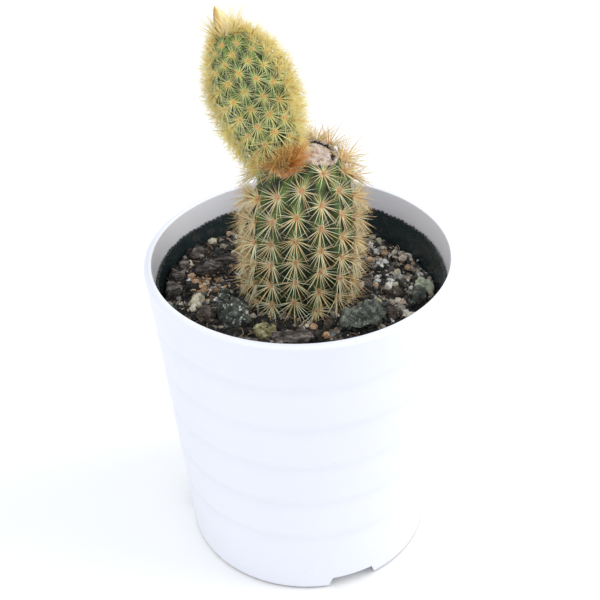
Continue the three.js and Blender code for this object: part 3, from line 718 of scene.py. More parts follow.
def liner_outer(height):
    """Outer radius of the nursery pot, which hangs clear of the cover pot at its rim."""
    pot = sizes("pot")
    low, high = RIM_LOW[2], RIM_HIGH[2]
    rim = pot_inner(high) - pot.clearance
    return pot.liner_foot + (rim - pot.liner_foot) * (height - low) / (high - low)


def cut(thing, cutters):
    """Cuts closed shapes out of a piece and removes them."""
    for cutter in cutters:
        modifier = thing.modifiers.new("cut", "BOOLEAN")
        modifier.operation = "DIFFERENCE"
        modifier.solver = "EXACT"
        modifier.object = cutter
    baked(thing)
    for cutter in cutters:
        remove_object(cutter)
    return thing


def drill(radius, low, high, x=0.0, y=0.0):
    """A round cutter that stands on end."""
    profile = [(0, low), (radius, low), (radius, high), (0, high)]
    points, faces = turned(profile, 40)
    points = [(p[0] + x, p[1] + y, p[2]) for p in points]
    return new_object("drill", points, faces)


def drill_ring(number, ring, radius, low, high):
    turns = [math.tau * index / number for index in range(number)]
    return [drill(radius, low, high, ring * math.cos(t), ring * math.sin(t)) for t in turns]


def foot_notches():
    """Cutters for the drain notches, narrower at the top."""
    pot = sizes("pot")
    reach = pot.foot_ring * 4
    made = []
    for index in range(pot.notches):
        turn = pot.notch_azimuth + math.tau * index / pot.notches
        half, top = pot.notch_width / 2, pot.notch_top / 2
        outline = [(-half, -MM), (half, -MM), (half, 0), (top, pot.notch_height),
                   (-top, pot.notch_height), (-half, 0)]
        points = [(x, y, z) for y in (-pot.foot_radius - reach / 2, -pot.foot_radius + reach / 2)
                  for x, z in outline]
        size = len(outline)
        faces = [tuple(range(size)), tuple(range(2 * size - 1, size - 1, -1))]
        faces += [(i, i + size, (i + 1) % size + size, (i + 1) % size) for i in range(size)]
        block = new_object("notch", points, faces)
        block.data.transform(Matrix.Rotation(turn, 4, "Z"))
        outward(block)
        made.append(block)
    return made


def outward(thing):
    """Joins doubled points and turns every face outward."""
    shape = bmesh.new()
    shape.from_mesh(thing.data)
    bmesh.ops.remove_doubles(shape, verts=shape.verts, dist=1e-7)
    bmesh.ops.recalc_face_normals(shape, faces=shape.faces)
    shape.to_mesh(thing.data)
    shape.free()
    return thing


def band_dip(height):
    """How far the soft pressed rings draw the wall in."""
    pot = sizes("pot")
    top = pot.height - pot.band_drop
    above_reach, below_reach = 2.0 * MM, 3.4 * MM
    dip = 0.0
    for index in range(pot.bands):
        below = top - index * pot.band_spacing - height
        dip += math.exp(-(below / (above_reach if below < 0 else below_reach)) ** 2)
    return pot.band_depth * dip


def make_cover_pot():
    """The white pot, turned from its profile, with notches in the foot and holes in the floor."""
    pot = sizes("pot")
    lip = pot.wall / 2
    lip_centre = (pot_outer(pot.height) - lip, pot.height - lip)
    floor_top = pot.floor_height + pot.floor_thickness
    fillet = 3 * MM
    inside = pot_inner(floor_top)
    start, end = 1.4 * MM, pot.height - lip
    steps, columns = 150, 192
    wall = [start + (end - start) * i / steps for i in range(steps + 1)]
    foot, crisp = pot.foot_radius, 0.4 * MM
    ring = foot - pot.foot_ring
    profile = [(0, pot.floor_height), (ring, pot.floor_height), (ring, crisp), (ring + crisp, 0),
               (foot - 1.5 * MM, 0), (foot - 0.9 * MM, 0.35 * MM), (foot - 0.3 * MM, 0.8 * MM)]
    profile += [(pot_outer(h) - band_dip(h), h) for h in wall]
    profile += arc(lip_centre, lip, 0, 90, 8)[1:]
    profile += arc((pot_inner(pot.height) + crisp, pot.height - crisp), crisp, 90, 180, 4)
    profile += [(pot_inner(h), h) for h in np.linspace(end - 6 * MM, floor_top + fillet, 12)]
    profile += arc((inside - fillet, floor_top + fillet), fillet, 0, -90, 6)[1:]
    profile += [(0, floor_top)]
    points, faces = turned(profile, columns)
    made = new_object("white_pot", points, faces)
    cutters = foot_notches() + [drill(pot.drain_radius, -MM, floor_top + MM)]
    cutters += drill_ring(pot.drains, pot.drain_ring, pot.drain_radius, -MM, floor_top + MM)
    cut(made, cutters)
    smooth_by_angle(made, 35)
    return finish_piece(made, "white_plastic", white_plastic(), "cover_pot")


def make_nursery_pot():
    """The black pot: a thin wall that waves a little towards its ragged, cut rim."""
    pot = sizes("pot")
    low, high = RIM_LOW[2], RIM_HIGH[2]
    floor_top = low + 1.2 * MM
    cut_depth, wavy_depth, sway = 3 * MM, 16 * MM, 0.22 * MM
    teeth = np.random.default_rng(4)
    columns, tooth = 480, 3
    knots = np.arange(0, columns, tooth)
    coarse = np.interp(np.arange(columns), knots, teeth.random(len(knots)), period=columns)
    fine = (0.35 + 0.65 * teeth.random(columns)) * (np.arange(columns) % tooth == 1)
    drop = pot.liner_ragged * (0.28 * coarse + 0.68 * fine)

    def heights(radius, height, turns):
        share = np.clip((height - (high - cut_depth)) / cut_depth, 0, 1)
        return height - share * drop

    def radii(radius, height, turns):
        share = np.clip((height - (high - wavy_depth)) / wavy_depth, 0, 1)
        wave = sway * np.sin(3 * turns + 2) + 0.12 * MM * np.sin(11 * turns)
        return radius - share * (sway + wave)

    wall, gap = pot.liner_wall, 0.5 * MM
    up = np.concatenate([np.linspace(low + gap, high - wavy_depth, 10),
                         np.linspace(high - wavy_depth + MM, high, 20)])
    profile = [(0, low)] + [(liner_outer(low), low)]
    profile += [(liner_outer(h), h) for h in up]
    profile += [(liner_outer(h) - wall, h) for h in up[::-1] if h > floor_top + gap]
    profile += [(liner_outer(floor_top) - wall, floor_top), (0, floor_top)]
    points, faces = turned(profile, columns, radii, heights)
    made = new_object("black_pot", points, faces)
    drains, drain_ring, drain_radius = 6, 27 * MM, 4.5 * MM
    cut(made, drill_ring(drains, drain_ring, drain_radius, low - MM, floor_top + MM))
    smooth_by_angle(made, 35)
    return finish_piece(made, "black_plastic", black_plastic(), "nursery_pot")


# ---- what the cactus grows in ------------------------------------------------------------------
def mix_height(x, y):
    """Height of the mix at a place, which falls to the right and to the back."""
    fall_right, fall_back, lump_height = 0.065, 0.045, 0.7 * MM
    across, along = x / MM, y / MM
    lumps = np.sin(across * 0.31 + 1.3) * np.cos(along * 0.27)
    lumps = lumps + 0.6 * np.sin(across * 0.13 - along * 0.47)
    return sizes("stem").level - fall_right * x - fall_back * y + lump_height * lumps


def mix_edge(height):
    gap = 0.45 * MM
    return liner_outer(height) - sizes("pot").liner_wall - gap


def mix_rings(rows, columns):
    """Rings of the top of the mix, from the wall to near the stem's axis."""
    turns = np.linspace(0, math.tau, columns, endpoint=False)
    lowest_edge, innermost = 3.6 * MM, 0.04
    edge = mix_edge(sizes("stem").level - lowest_edge)
    rings = []
    for share in np.linspace(1, innermost, rows):
        x, y = edge * share * np.cos(turns), edge * share * np.sin(turns)
        z = mix_height(x, y)
        flat = np.stack([x, y, np.zeros(columns)], axis=1)
        z = z + (0.55 * rough(flat, 160, 4) + 0.3 * rough(flat, 620, 3, 5)) * MM
        rings.append(np.stack([x, y, z], axis=1))
    return rings


def make_potting_mix():
    """The bed of mix, which fills the nursery pot below its lumpy top."""
    rows, columns = 90, 256
    turns = np.linspace(0, math.tau, columns, endpoint=False)
    above_the_floor = 1.55 * MM
    bottom = RIM_LOW[2] + above_the_floor
    low = mix_edge(bottom)
    foot = np.stack([low * np.cos(turns), low * np.sin(turns), np.full(columns, bottom)], axis=1)
    rings = [foot] + mix_rings(rows, columns)
    tip = (0, 0, float(mix_height(0.0, 0.0)))
    made = new_object("mix_bed", *loft(np.array(rings), (0, 0, bottom), tip))
    smooth_by_angle(made, 50)
    return finish_piece(made, "potting_mix", potting_mix(), "potting_mix")


# Faces that meet at more than this many degrees stay sharp.
GRAIN_CREASE, STONE_CREASE = 14, 24
GRAIN_FIELDS = [
    ("Density", "NodeSocketFloat"), ("Smallest", "NodeSocketFloat"), ("Largest", "NodeSocketFloat"),
    ("Flat", "NodeSocketFloat"), ("Rough", "NodeSocketFloat"), ("Seed", "NodeSocketInt"),
    ("Material", "NodeSocketMaterial"),
]


def grain_tree(name, subdivisions=1):
    """Grains strewn over a surface, thickest where its `strewn` attribute is highest."""
    sheet = NodeSheet(name, GRAIN_FIELDS)
    seed = sheet.given("Seed")
    density = sheet.maths("MULTIPLY", sheet.named("strewn"), sheet.given("Density"))
    points = sheet.add("GeometryNodeDistributePointsOnFaces", {
        "Mesh": sheet.given("Geometry"), "Density": density, "Seed": seed})
    mostly_small, tip_over, narrowest, wander_scale = 2.2, 0.6, 0.55, 900.0
    draw = sheet.maths("POWER", sheet.chance(0.0, 1.0, seed), mostly_small)
    span = sheet.maths("SUBTRACT", sheet.given("Largest"), sheet.given("Smallest"))
    size = sheet.maths("ADD", sheet.maths("MULTIPLY", draw, span), sheet.given("Smallest"))
    points = sheet.keep(points, "grain", size)
    points = sheet.keep(points, "shade", sheet.chance(0.0, 1.0, sheet.maths("ADD", seed, 4)))
    turn = sheet.add("FunctionNodeRandomValue", {
        0: (-tip_over, -tip_over, 0.0), 1: (tip_over, tip_over, math.tau), 8: seed},
        data_type="FLOAT_VECTOR")
    ball = sheet.add("GeometryNodeMeshIcoSphere", {"Radius": 0.5, "Subdivisions": subdivisions})
    squash = sheet.add("ShaderNodeCombineXYZ", {
        0: 1.0, 1: sheet.chance(narrowest, 1.0, sheet.maths("ADD", seed, 5)),
        2: sheet.given("Flat")})
    laid = sheet.add("FunctionNodeEulerToRotation", {0: turn})
    grains_laid = sheet.add("GeometryNodeInstanceOnPoints", {
        "Points": points, "Instance": ball, "Rotation": laid,
        "Scale": sheet.scaled(squash, size)})
    whole = sheet.add("GeometryNodeRealizeInstances", {"Geometry": grains_laid})
    place = sheet.add("GeometryNodeInputPosition")
    grain = sheet.named("grain")
    wander = sheet.add("ShaderNodeTexNoise", {
        "Vector": sheet.scaled(place, wander_scale), "Scale": 1.0, "Detail": 1.0}, output=1)
    wander = sheet.vector("SUBTRACT", wander, (0.5, 0.5, 0.5))
    push = sheet.scaled(wander, sheet.maths("MULTIPLY", grain, sheet.given("Rough")))
    whole = sheet.add("GeometryNodeSetPosition", {"Geometry": whole, "Offset": push})
    sheet.close(whole, sheet.given("Material"))
    return sheet


def mix_carrier(name, strewn_at):
    """An open copy of the top of the mix that says how thickly grains lie at each point."""
    points, faces = loft(np.array(mix_rings(rows=40, columns=120)))
    carrier = new_object(name, points, faces)
    flat = np.array(points)
    store(carrier, "strewn", [strewn_at(p[0] / MM, p[1] / MM) for p in flat])
    return carrier


def near(x, y, azimuth, reach, spread):
    """Falls from 1 at a place given by azimuth and reach, in millimetres, to 0."""
    turn = math.radians(azimuth)
    gap = math.hypot(x - reach * math.cos(turn), y - reach * math.sin(turn))
    return math.exp(-(gap / spread) ** 2)


def everywhere(*_):
    return 1.0


def pale_places(x, y):
    return min(1.0, near(x, y, 20, 40, 13) + near(x, y, 48, 40, 12) + near(x, y, -15, 34, 9) * 0.5
               + near(x, y, -170, 34, 12) * 0.35 + 0.06)


def orange_places(x, y):
    return min(1.0, near(x, y, 175, 34, 7) + 0.5 * near(x, y, -178, 30, 5) + 0.02)


def fleck_places(x, y):
    beside_the_stem = 15
    return 1.0 if math.hypot(x, y) > beside_the_stem else 0.0


def make_grit():
    """Thousands of small grains: dark crumbs everywhere, the paler kinds where they gathered."""
    seed = sizes("spines").seed
    dark = grains("Dark grit", [(0.0, (0.008, 0.008, 0.008)), (0.35, (0.020, 0.018, 0.016)),
                                (0.62, (0.045, 0.038, 0.031)), (0.80, (0.11, 0.095, 0.078)),
                                (0.91, (0.30, 0.265, 0.215))])
    pale = grains("Pale grit", [(0.0, (0.64, 0.58, 0.48)), (0.17, (0.46, 0.36, 0.28)),
                                (0.26, (0.76, 0.75, 0.71)), (0.44, (0.32, 0.31, 0.28)),
                                (0.62, (0.14, 0.15, 0.14)), (0.80, (0.05, 0.055, 0.05)),
                                (0.93, (0.66, 0.68, 0.66))])
    orange = grains("Orange grit", [(0.0, (0.48, 0.29, 0.15)), (0.35, (0.74, 0.52, 0.34)),
                                    (0.6, (0.30, 0.18, 0.10)), (0.8, (0.80, 0.68, 0.52))])
    white = grains("White flecks", [(0.0, (0.80, 0.78, 0.72)), (0.6, (0.60, 0.55, 0.46))])
    plan = [("dark_crumbs", everywhere, 190000.0, 1.4, 3.6, 0.7, dark, seed),
            ("dark_grit", everywhere, 520000.0, 0.5, 1.3, 0.75, dark, seed + 4),
            ("pale_grit", pale_places, 330000.0, 1.1, 3.6, 0.8, pale, seed + 1),
            ("orange_grit", orange_places, 300000.0, 1.2, 3.0, 0.85, orange, seed + 2),
            ("white_flecks", fleck_places, 95000.0, 0.3, 0.9, 0.7, white, seed + 3)]
    slots = {"dark_crumbs": "potting_mix", "dark_grit": "potting_mix", "pale_grit": "cream_stone",
             "orange_grit": "tan_pumice", "white_flecks": "cream_stone"}
    for name, strewn_at, density, smallest, largest, flat, finish, draw in plan:
        carrier = mix_carrier(name, strewn_at)
        tree = grain_tree(name + "_tree", 2 if largest > 2 else 1)
        made = tree.run(carrier, density=density, smallest=smallest * MM, largest=largest * MM,
                        flat=flat, rough=0.85, seed=draw, material=finish)
        smooth_by_angle(made, GRAIN_CREASE)
        finish_piece(made, slots[name], finish)


def fibre_rings(draws, sides=5, steps=7):
    """Rings along one thin fibre that wanders over the mix, fewer where it meets the wall."""
    turn, reach = draws.random() * math.tau, 18 + 30 * draws.random() ** 0.7
    x, y = reach * math.cos(turn), reach * math.sin(turn)
    heading, bend = draws.random() * math.tau, draws.normal() * 0.35
    span, thick = 3 + 8 * draws.random() ** 2, 0.09 + 0.14 * draws.random()
    farthest, up, rings = 49, np.array(FACE_UP), []
    for step in range(steps):
        x += span / steps * math.cos(heading)
        y += span / steps * math.sin(heading)
        heading += bend + draws.normal() * 0.15
        lift = 0.5 + 1.1 * math.sin(math.pi * step / (steps - 1)) * draws.random()
        if math.hypot(x, y) > farthest:
            break
        centre = np.array([x * MM, y * MM, mix_height(x * MM, y * MM) + lift * MM])
        width = thick * MM * (1 - 0.5 * step / steps)
        side = np.array([-math.sin(heading), math.cos(heading), 0])
        around = [math.tau * i / sides for i in range(sides)]
        rings.append([centre + width * (math.cos(a) * side + math.sin(a) * up) for a in around])
    return rings


def make_fibres():
    """Thin roots and bark fibres that lie on the mix."""
    draws = np.random.default_rng(21)
    strands, fewest_rings = 150, 3
    points, faces, shades = [], [], []
    for _ in range(strands):
        rings = fibre_rings(draws)
        if len(rings) < fewest_rings:
            continue
        made, joined = loft(np.array(rings), np.mean(rings[0], axis=0), np.mean(rings[-1], axis=0))
        faces += [tuple(len(points) + corner for corner in face) for face in joined]
        points += made
        shades += [draws.random()] * len(made)
    fibres = outward(new_object("fibres", points, faces))
    store(fibres, "shade", (shades + [0.5] * len(points))[:len(fibres.data.vertices)])
    fibres.data.shade_smooth()
    tone = grains("Root fibre", [(0.0, (0.30, 0.20, 0.12)), (0.5, (0.12, 0.08, 0.05)),
                                 (0.8, (0.55, 0.44, 0.32))])
    return finish_piece(fibres, "potting_mix", tone)


# ---- loose stones, bark and pebbles ------------------------------------------------------------
def worn(node, scale, depth, round_off, seed):
    """A finer, weathered copy of a CAD lump."""
    merged, cuts, usual_span = 0.02 * MM, 3, 6 * MM
    mesh = frame["nodes"][node].data.copy()
    shape = bmesh.new()
    shape.from_mesh(mesh)
    bmesh.ops.remove_doubles(shape, verts=shape.verts, dist=merged)
    bmesh.ops.dissolve_degenerate(shape, dist=merged, edges=shape.edges)
    bmesh.ops.triangulate(shape, faces=shape.faces)
    for _ in range(cuts):
        bmesh.ops.subdivide_edges(shape, edges=shape.edges, cuts=1, use_grid_fill=True)
        bmesh.ops.smooth_vert(shape, verts=shape.verts, factor=round_off, use_axis_x=True,
                              use_axis_y=True, use_axis_z=True)
    bmesh.ops.recalc_face_normals(shape, faces=shape.faces)
    shape.normal_update()
    places = np.array([v.co[:] for v in shape.verts])
    span = float(np.ptp(places, axis=0).max())
    broad = 1 - 2.2 * np.abs(rough(places, 2.2 / span, 2, seed + 7))
    push = (rough(places, scale, 4, seed) + 0.45 * broad) * depth * MM * min(2.2, span / usual_span)
    for vert, far in zip(shape.verts, push):
        vert.co += vert.normal * float(far)
    shape.to_mesh(mesh)
    shape.free()
    made = bpy.data.objects.new("worn_" + node, mesh)
    bpy.context.scene.collection.objects.link(made)
    made.data.materials.clear()
    smooth_by_angle(made, STONE_CREASE)
    return made


def stone_finishes():
    """Each kind of stone: its material and its slot."""
    slate = stone("Slate", (0.008, 0.010, 0.009), (0.070, 0.080, 0.066), (0.22, 0.24, 0.195),
                  (0.42, 0.46, 0.36), 0.66)
    speckled = stone("Speckled stone", (0.008, 0.010, 0.009), (0.034, 0.042, 0.034),
                     (0.13, 0.15, 0.12), (0.70, 0.70, 0.62), 0.62)
    brown = stone("Brown stone", (0.018, 0.013, 0.010), (0.062, 0.046, 0.034),
                  (0.19, 0.155, 0.12), (0.55, 0.48, 0.40), 0.66)
    green = stone("Yellow green stone", (0.07, 0.065, 0.028), (0.27, 0.25, 0.11),
                  (0.56, 0.54, 0.32), (0.05, 0.045, 0.025), 0.62)
    cream = stone("Cream stone", (0.30, 0.24, 0.13), (0.66, 0.60, 0.42), (0.88, 0.86, 0.74),
                  (0.10, 0.075, 0.04), 0.64)
    lichen = stone("Lichen stone", (0.20, 0.24, 0.17), (0.46, 0.52, 0.38), (0.74, 0.74, 0.58),
                   (0.10, 0.11, 0.08), 0.66)
    orange = stone("Orange pumice", (0.24, 0.12, 0.055), (0.52, 0.32, 0.18), (0.84, 0.66, 0.48))
    pink = stone("Pink pumice", (0.32, 0.24, 0.18), (0.60, 0.49, 0.40), (0.84, 0.77, 0.69))
    return {"slate": (slate, "grey_stone"), "speckled": (speckled, "grey_stone"),
            "brown": (brown, "brown_stone"), "green": (green, "green_stone"),
            "cream": (cream, "cream_stone"), "lichen": (lichen, "cream_stone"),
            "orange": (orange, "tan_pumice"), "pink": (pink, "pink_pumice")}


STONES = {
    "stone_slate_large": "slate", "stone_grey_small": "brown", "stone_lichen": "lichen",
    "stone_slate_right": "slate", "stone_brown_right": "brown", "stone_brown_left": "brown",
    "stone_speckled_left": "speckled", "stone_speckled_small": "speckled",
    "stone_green_front": "green", "stone_cream_long": "cream", "stone_back_left": "speckled",
    "stone_back_right": "brown",
}
PEBBLES = {
    "pebble_white_left": "cream", "pebble_orange_far": "orange", "pebble_orange_middle": "orange",
    "pebble_orange_near": "orange", "pebble_yellow": "green", "pebble_cream_low": "cream",
    "pebble_cream_high": "cream", "pebble_pink_large": "pink", "pebble_pink_small": "pink",
    "pebble_tan_right": "orange", "pebble_tan_back": "orange", "pebble_cream_back": "cream",
    "pebble_tan_inner": "orange", "pebble_rosy": "pink", "pebble_tan_front": "orange",
    "pebble_tan_near": "orange", "pebble_brown_front": "brown", "pebble_back_cream": "cream",
}


def make_stones():
    """A weathered skin for each stone, and finer ones for the pebbles."""
    finishes = stone_finishes()
    for lumps, first_seed, wear in ((STONES, 0, (330, 0.65, 0.05)), (PEBBLES, 40, (600, 0.4, 0.1))):
        for seed, (node, kind) in enumerate(lumps.items()):
            made = worn(node, *wear, seed + first_seed)
            material, slot_name = finishes[kind]
            finish_piece(made, slot_name, material, node)


def make_bark():
    """A weathered skin for each chip of bark."""
    finish = bark_chip()
    chips = sorted(node for node in frame["nodes"] if node.startswith("bark_"))
    for seed, node in enumerate(chips):
        made = worn(node, 420, 0.5, 0.02, seed + 80)
        finish_piece(made, "bark", finish, node)


# ---- the stems ---------------------------------------------------------------------------------
# Each station is share of the length, share of the radius, and share of the lean.
STEM_STATIONS = [
    (0.10, 0.84, 0.0), (0.24, 0.94, 0.03), (0.42, 0.985, 0.14), (0.56, 1.0, 0.21),
    (0.72, 0.985, 0.27), (0.83, 0.92, 0.37), (0.90, 0.82, 0.48), (0.955, 0.66, 0.66),
    (1.0, 0.42, 1.0),
]
# Each station is share of the length, share of the radius, and bend to the right.
OFFSET_STATIONS = [
    (0.0, 0.58, 0.193), (0.05, 0.70, 0.118), (0.17, 0.82, 0.032), (0.32, 0.925, 0),
    (0.45, 0.985, 0), (0.59, 1.0, 0), (0.74, 0.895, 0), (0.86, 0.685, -0.032),
    (0.945, 0.44, -0.086), (0.985, 0.215, -0.128),
]
# How far each rib's areoles lie below those of the rib with none, as a share of a step.
STEM_STAGGER = [0.265, 0.84, 0.42, 0.0, 0.575, 0.15, 0.73, 0.31, 0.885, 0.46, 0.04, 0.52, 0.11,
                0.69]


def between(stations, share):
    """Values between stations, on a smooth curve through them."""
    last = len(stations) - 1
    index = next((i for i, station in enumerate(stations) if station[0] > share), last)
    index = max(index, 1)
    before, start = stations[max(index - 2, 0)], stations[index - 1]
    end, after = stations[index], stations[min(index + 1, last)]
    spread = end[0] - start[0]
    t = min(max((share - start[0]) / spread, 0), 1)
    made = []
    for low, here, high, beyond in zip(before, start, end, after):
        slope_in = (high - low) / ((end[0] - before[0]) or 1) * spread
        slope_out = (beyond - here) / ((after[0] - start[0]) or 1) * spread
        made.append((2 * t ** 3 - 3 * t ** 2 + 1) * here + (t ** 3 - 2 * t ** 2 + t) * slope_in
                    + (3 * t ** 2 - 2 * t ** 3) * high + (t ** 3 - t ** 2) * slope_out)
    return made


def laid_flat(normal, flat):
    """Turns points of the plane Z = 0 so that the plane faces along the normal."""
    normal = np.asarray(normal)
    dots = flat @ normal
    return flat - np.outer(dots / (1 + normal[2]), np.array(FACE_UP) + normal)


def ring_at(centre, normal, turns, radii):
    """A ring of points round a centre, in the plane across the normal."""
    flat = np.stack([radii * np.cos(turns), radii * np.sin(turns), np.zeros(len(turns))], axis=1)
    return laid_flat(normal, flat) + centre


def ease(value):
    """0 below 0, 1 above 1, and a soft step between."""
    value = min(max(value, 0.0), 1.0)
    return value * value * (3 - 2 * value)


def swell(turns, first, ribs, phase_of, depth):
    """How far ribs broken into tubercles stand in from their crests, and how near the crest."""
    rib = (turns - first) * ribs / math.tau
    bulge, rounded = 0.26, 0.8
    crest = (0.5 + 0.5 * np.cos(math.tau * rib)) ** rounded
    nearest = (np.round(rib).astype(int) + 4 * ribs) % ribs
    bump = np.cos(math.tau * np.array([phase_of(i) for i in nearest]))
    return depth * (crest - 1 + bulge * bump * crest), crest * (0.75 + 0.25 * bump)


class MainStem:
    """The surface of the main stem, by share of its length and turn."""

    def __init__(self):
        s = self.s = sizes("stem")
        self.length = s.buried + s.height

    def frame(self, share, lean):
        """Centre of the stem, and the way that a cut across it would face."""
        s = self.s
        tilt = max(0.0, (share - 0.8) / 0.2)
        leaning = math.radians(5)
        right = leaning + (s.scar_right - leaning) * tilt
        normal = np.array([math.sin(right), -math.sin(s.scar_front * tilt), 1.0])
        centre = np.array([s.foot_x + s.lean * lean, s.foot_y * (1 - share),
                           s.level - s.buried + self.length * share])
        return centre, normal / np.linalg.norm(normal)

    def ring(self, share, turns):
        """Points round the stem at a share of its length, and how near each is to a crest."""
        s = self.s
        _, radius, lean = between(STEM_STATIONS, share)
        centre, normal = self.frame(share, lean)
        smooth_from, fading = 0.985, 0.14
        fade = ease((smooth_from - share) / fading)
        areoles = (share * self.length - s.areole_start) / s.areole_step
        stand, crest = swell(turns, s.rib_turn, s.ribs,
                             lambda rib: areoles + STEM_STAGGER[rib % len(STEM_STAGGER)], s.rib_depth)
        radii = s.radius * radius + fade * stand
        return ring_at(centre, normal, turns, radii), crest

    def areoles(self):
        """Share and turn of each areole, with one more near the scar on ribs that end bare."""
        s = self.s
        lowest, highest = 12.5 * MM, 0.981 * self.length
        found = []
        for rib in range(s.ribs):
            turn = s.rib_turn + math.tau * rib / s.ribs
            for step in range(12):
                along = s.areole_start + (step - STEM_STAGGER[rib]) * s.areole_step
                if lowest < along < highest:
                    found.append((along / self.length, turn))
            bare_above, topmost = (0.94, 0.975) if math.sin(turn) > -0.1 else (0.905, 0.970)
            if found[-1][0] < bare_above:
                found.append((topmost, turn))
        return found


class Offset:
    """The surface of the offset, by share of its length and turn."""

    def __init__(self):
        s = self.s = sizes("offset")
        top, _ = MainStem().frame(1, 1)
        self.joint = top + np.array([s.reach_x, s.reach_y, s.reach_z])
        self.axis = np.array([-math.sin(s.lean), 0, math.cos(s.lean)])
        self.side = np.array([math.cos(s.lean), 0, math.sin(s.lean)])

    def centre(self, share):
        bend = between(OFFSET_STATIONS, share)[2]
        return self.joint + self.axis * self.s.length * share + self.side * self.s.radius * bend

    def count_at(self, along):
        """How many areoles a rib has up to a length, which needn't be whole."""
        s = self.s
        used = (along - s.areole_start) * (1 - s.areole_shrink) / s.areole_step
        return math.log(max(1 - used, 0.05)) / math.log(s.areole_shrink)

    def along_at(self, number):
        """The length at which a rib's areole of a number sits."""
        s = self.s
        return s.areole_start + s.areole_step * (1 - s.areole_shrink ** number) / (1 - s.areole_shrink)

    def stagger(self, rib):
        return self.s.stagger * (rib + 4)

    def ring(self, share, turns):
        """Points round the offset at a share of its length, and how near each is to a crest."""
        s = self.s
        radius = between(OFFSET_STATIONS, share)[1]
        smooth_from, fading = 0.985, 0.12
        fade = ease((smooth_from - share) / fading)
        areoles = self.count_at(share * s.length)
        stand, crest = swell(turns, s.rib_turn, s.ribs,
                             lambda rib: areoles + self.stagger(rib), s.rib_depth)
        radii = s.radius * radius + fade * stand
        return ring_at(self.centre(share), self.axis, turns, radii), crest

    def areoles(self):
        """Share and turn of each areole."""
        s = self.s
        lowest, highest = 1.5 * MM, 0.978 * s.length
        found = []
        for rib in range(s.ribs):
            turn = s.rib_turn + math.tau * rib / s.ribs
            phase = self.stagger(rib) % 1
            for step in range(-1, 14):
                along = self.along_at(step - phase)
                if lowest < along < highest:
                    found.append((along / s.length, turn))
        return found


def areole_frames(surface, vigour_at):
    """Place, outward and upward directions of every areole on a stem."""
    made = []
    step, swing, last, proud = 0.008, 0.05, 0.984, 0.15 * MM
    for share, turn in surface.areoles():
        here = surface.ring(share, np.array([turn]))[0][0]
        low = surface.ring(share - step, np.array([turn]))[0][0]
        high = surface.ring(min(share + step, last), np.array([turn]))[0][0]
        left, right = surface.ring(share, np.array([turn - swing, turn + swing]))[0]
        up = (high - low) / np.linalg.norm(high - low)
        out = np.cross(right - left, up)
        out = out / np.linalg.norm(out)
        made.append({"place": here + out * proud, "out": out, "up": up,
                     "vigour": vigour_at(share, turn)})
    return made


def stem_rings(surface, first, last, rows, columns):
    """Rings of a stem's skin, and how near each point is to a rib's crest."""
    turns = np.linspace(0, math.tau, columns, endpoint=False)
    made = [surface.ring(share, turns) for share in np.linspace(first, last, rows)]
    return [ring for ring, _ in made], [crest for _, crest in made]


def skinned(name, rings, crests, foot, tip, depth, scale):
    """A closed ribbed skin with a slight unevenness and its crest attribute."""
    points, faces = loft(np.array(rings), foot, tip)
    points = np.array(points)
    made = new_object(name, points, faces)
    normals = np.array([v.normal[:] for v in made.data.vertices])
    points = points + normals * (rough(points, scale, 3) * depth)[:, None]
    made.data.vertices.foreach_set("co", points.astype(np.float32).ravel())
    made.data.update()
    store(made, "crest", np.append(np.concatenate(crests), [0.0, 0.0]))
    made.data.shade_smooth()
    return made


def make_main_stem():
    """The ribbed skin of the main stem, from its buried foot to under the scar."""
    surface, colours = MainStem(), sizes("colours")
    rows, columns, first = 170, 14 * 16, 0.10
    rings, crests = stem_rings(surface, first, 1.0, rows, columns)
    foot, _ = surface.frame(0, 0)
    top, normal = surface.frame(1, 1)
    made = skinned("stem_skin", rings, crests, foot, top + normal * 0.4 * MM, 0.12 * MM, 300)
    shaded_below, bright_above = 0.125, 0.156
    finish = skin("Stem skin", tuple(colours.stem), tuple(colours.stem_furrow_shade), 120,
                  shaded_below, bright_above)
    return finish_piece(made, "stem_skin", finish, "main_stem")


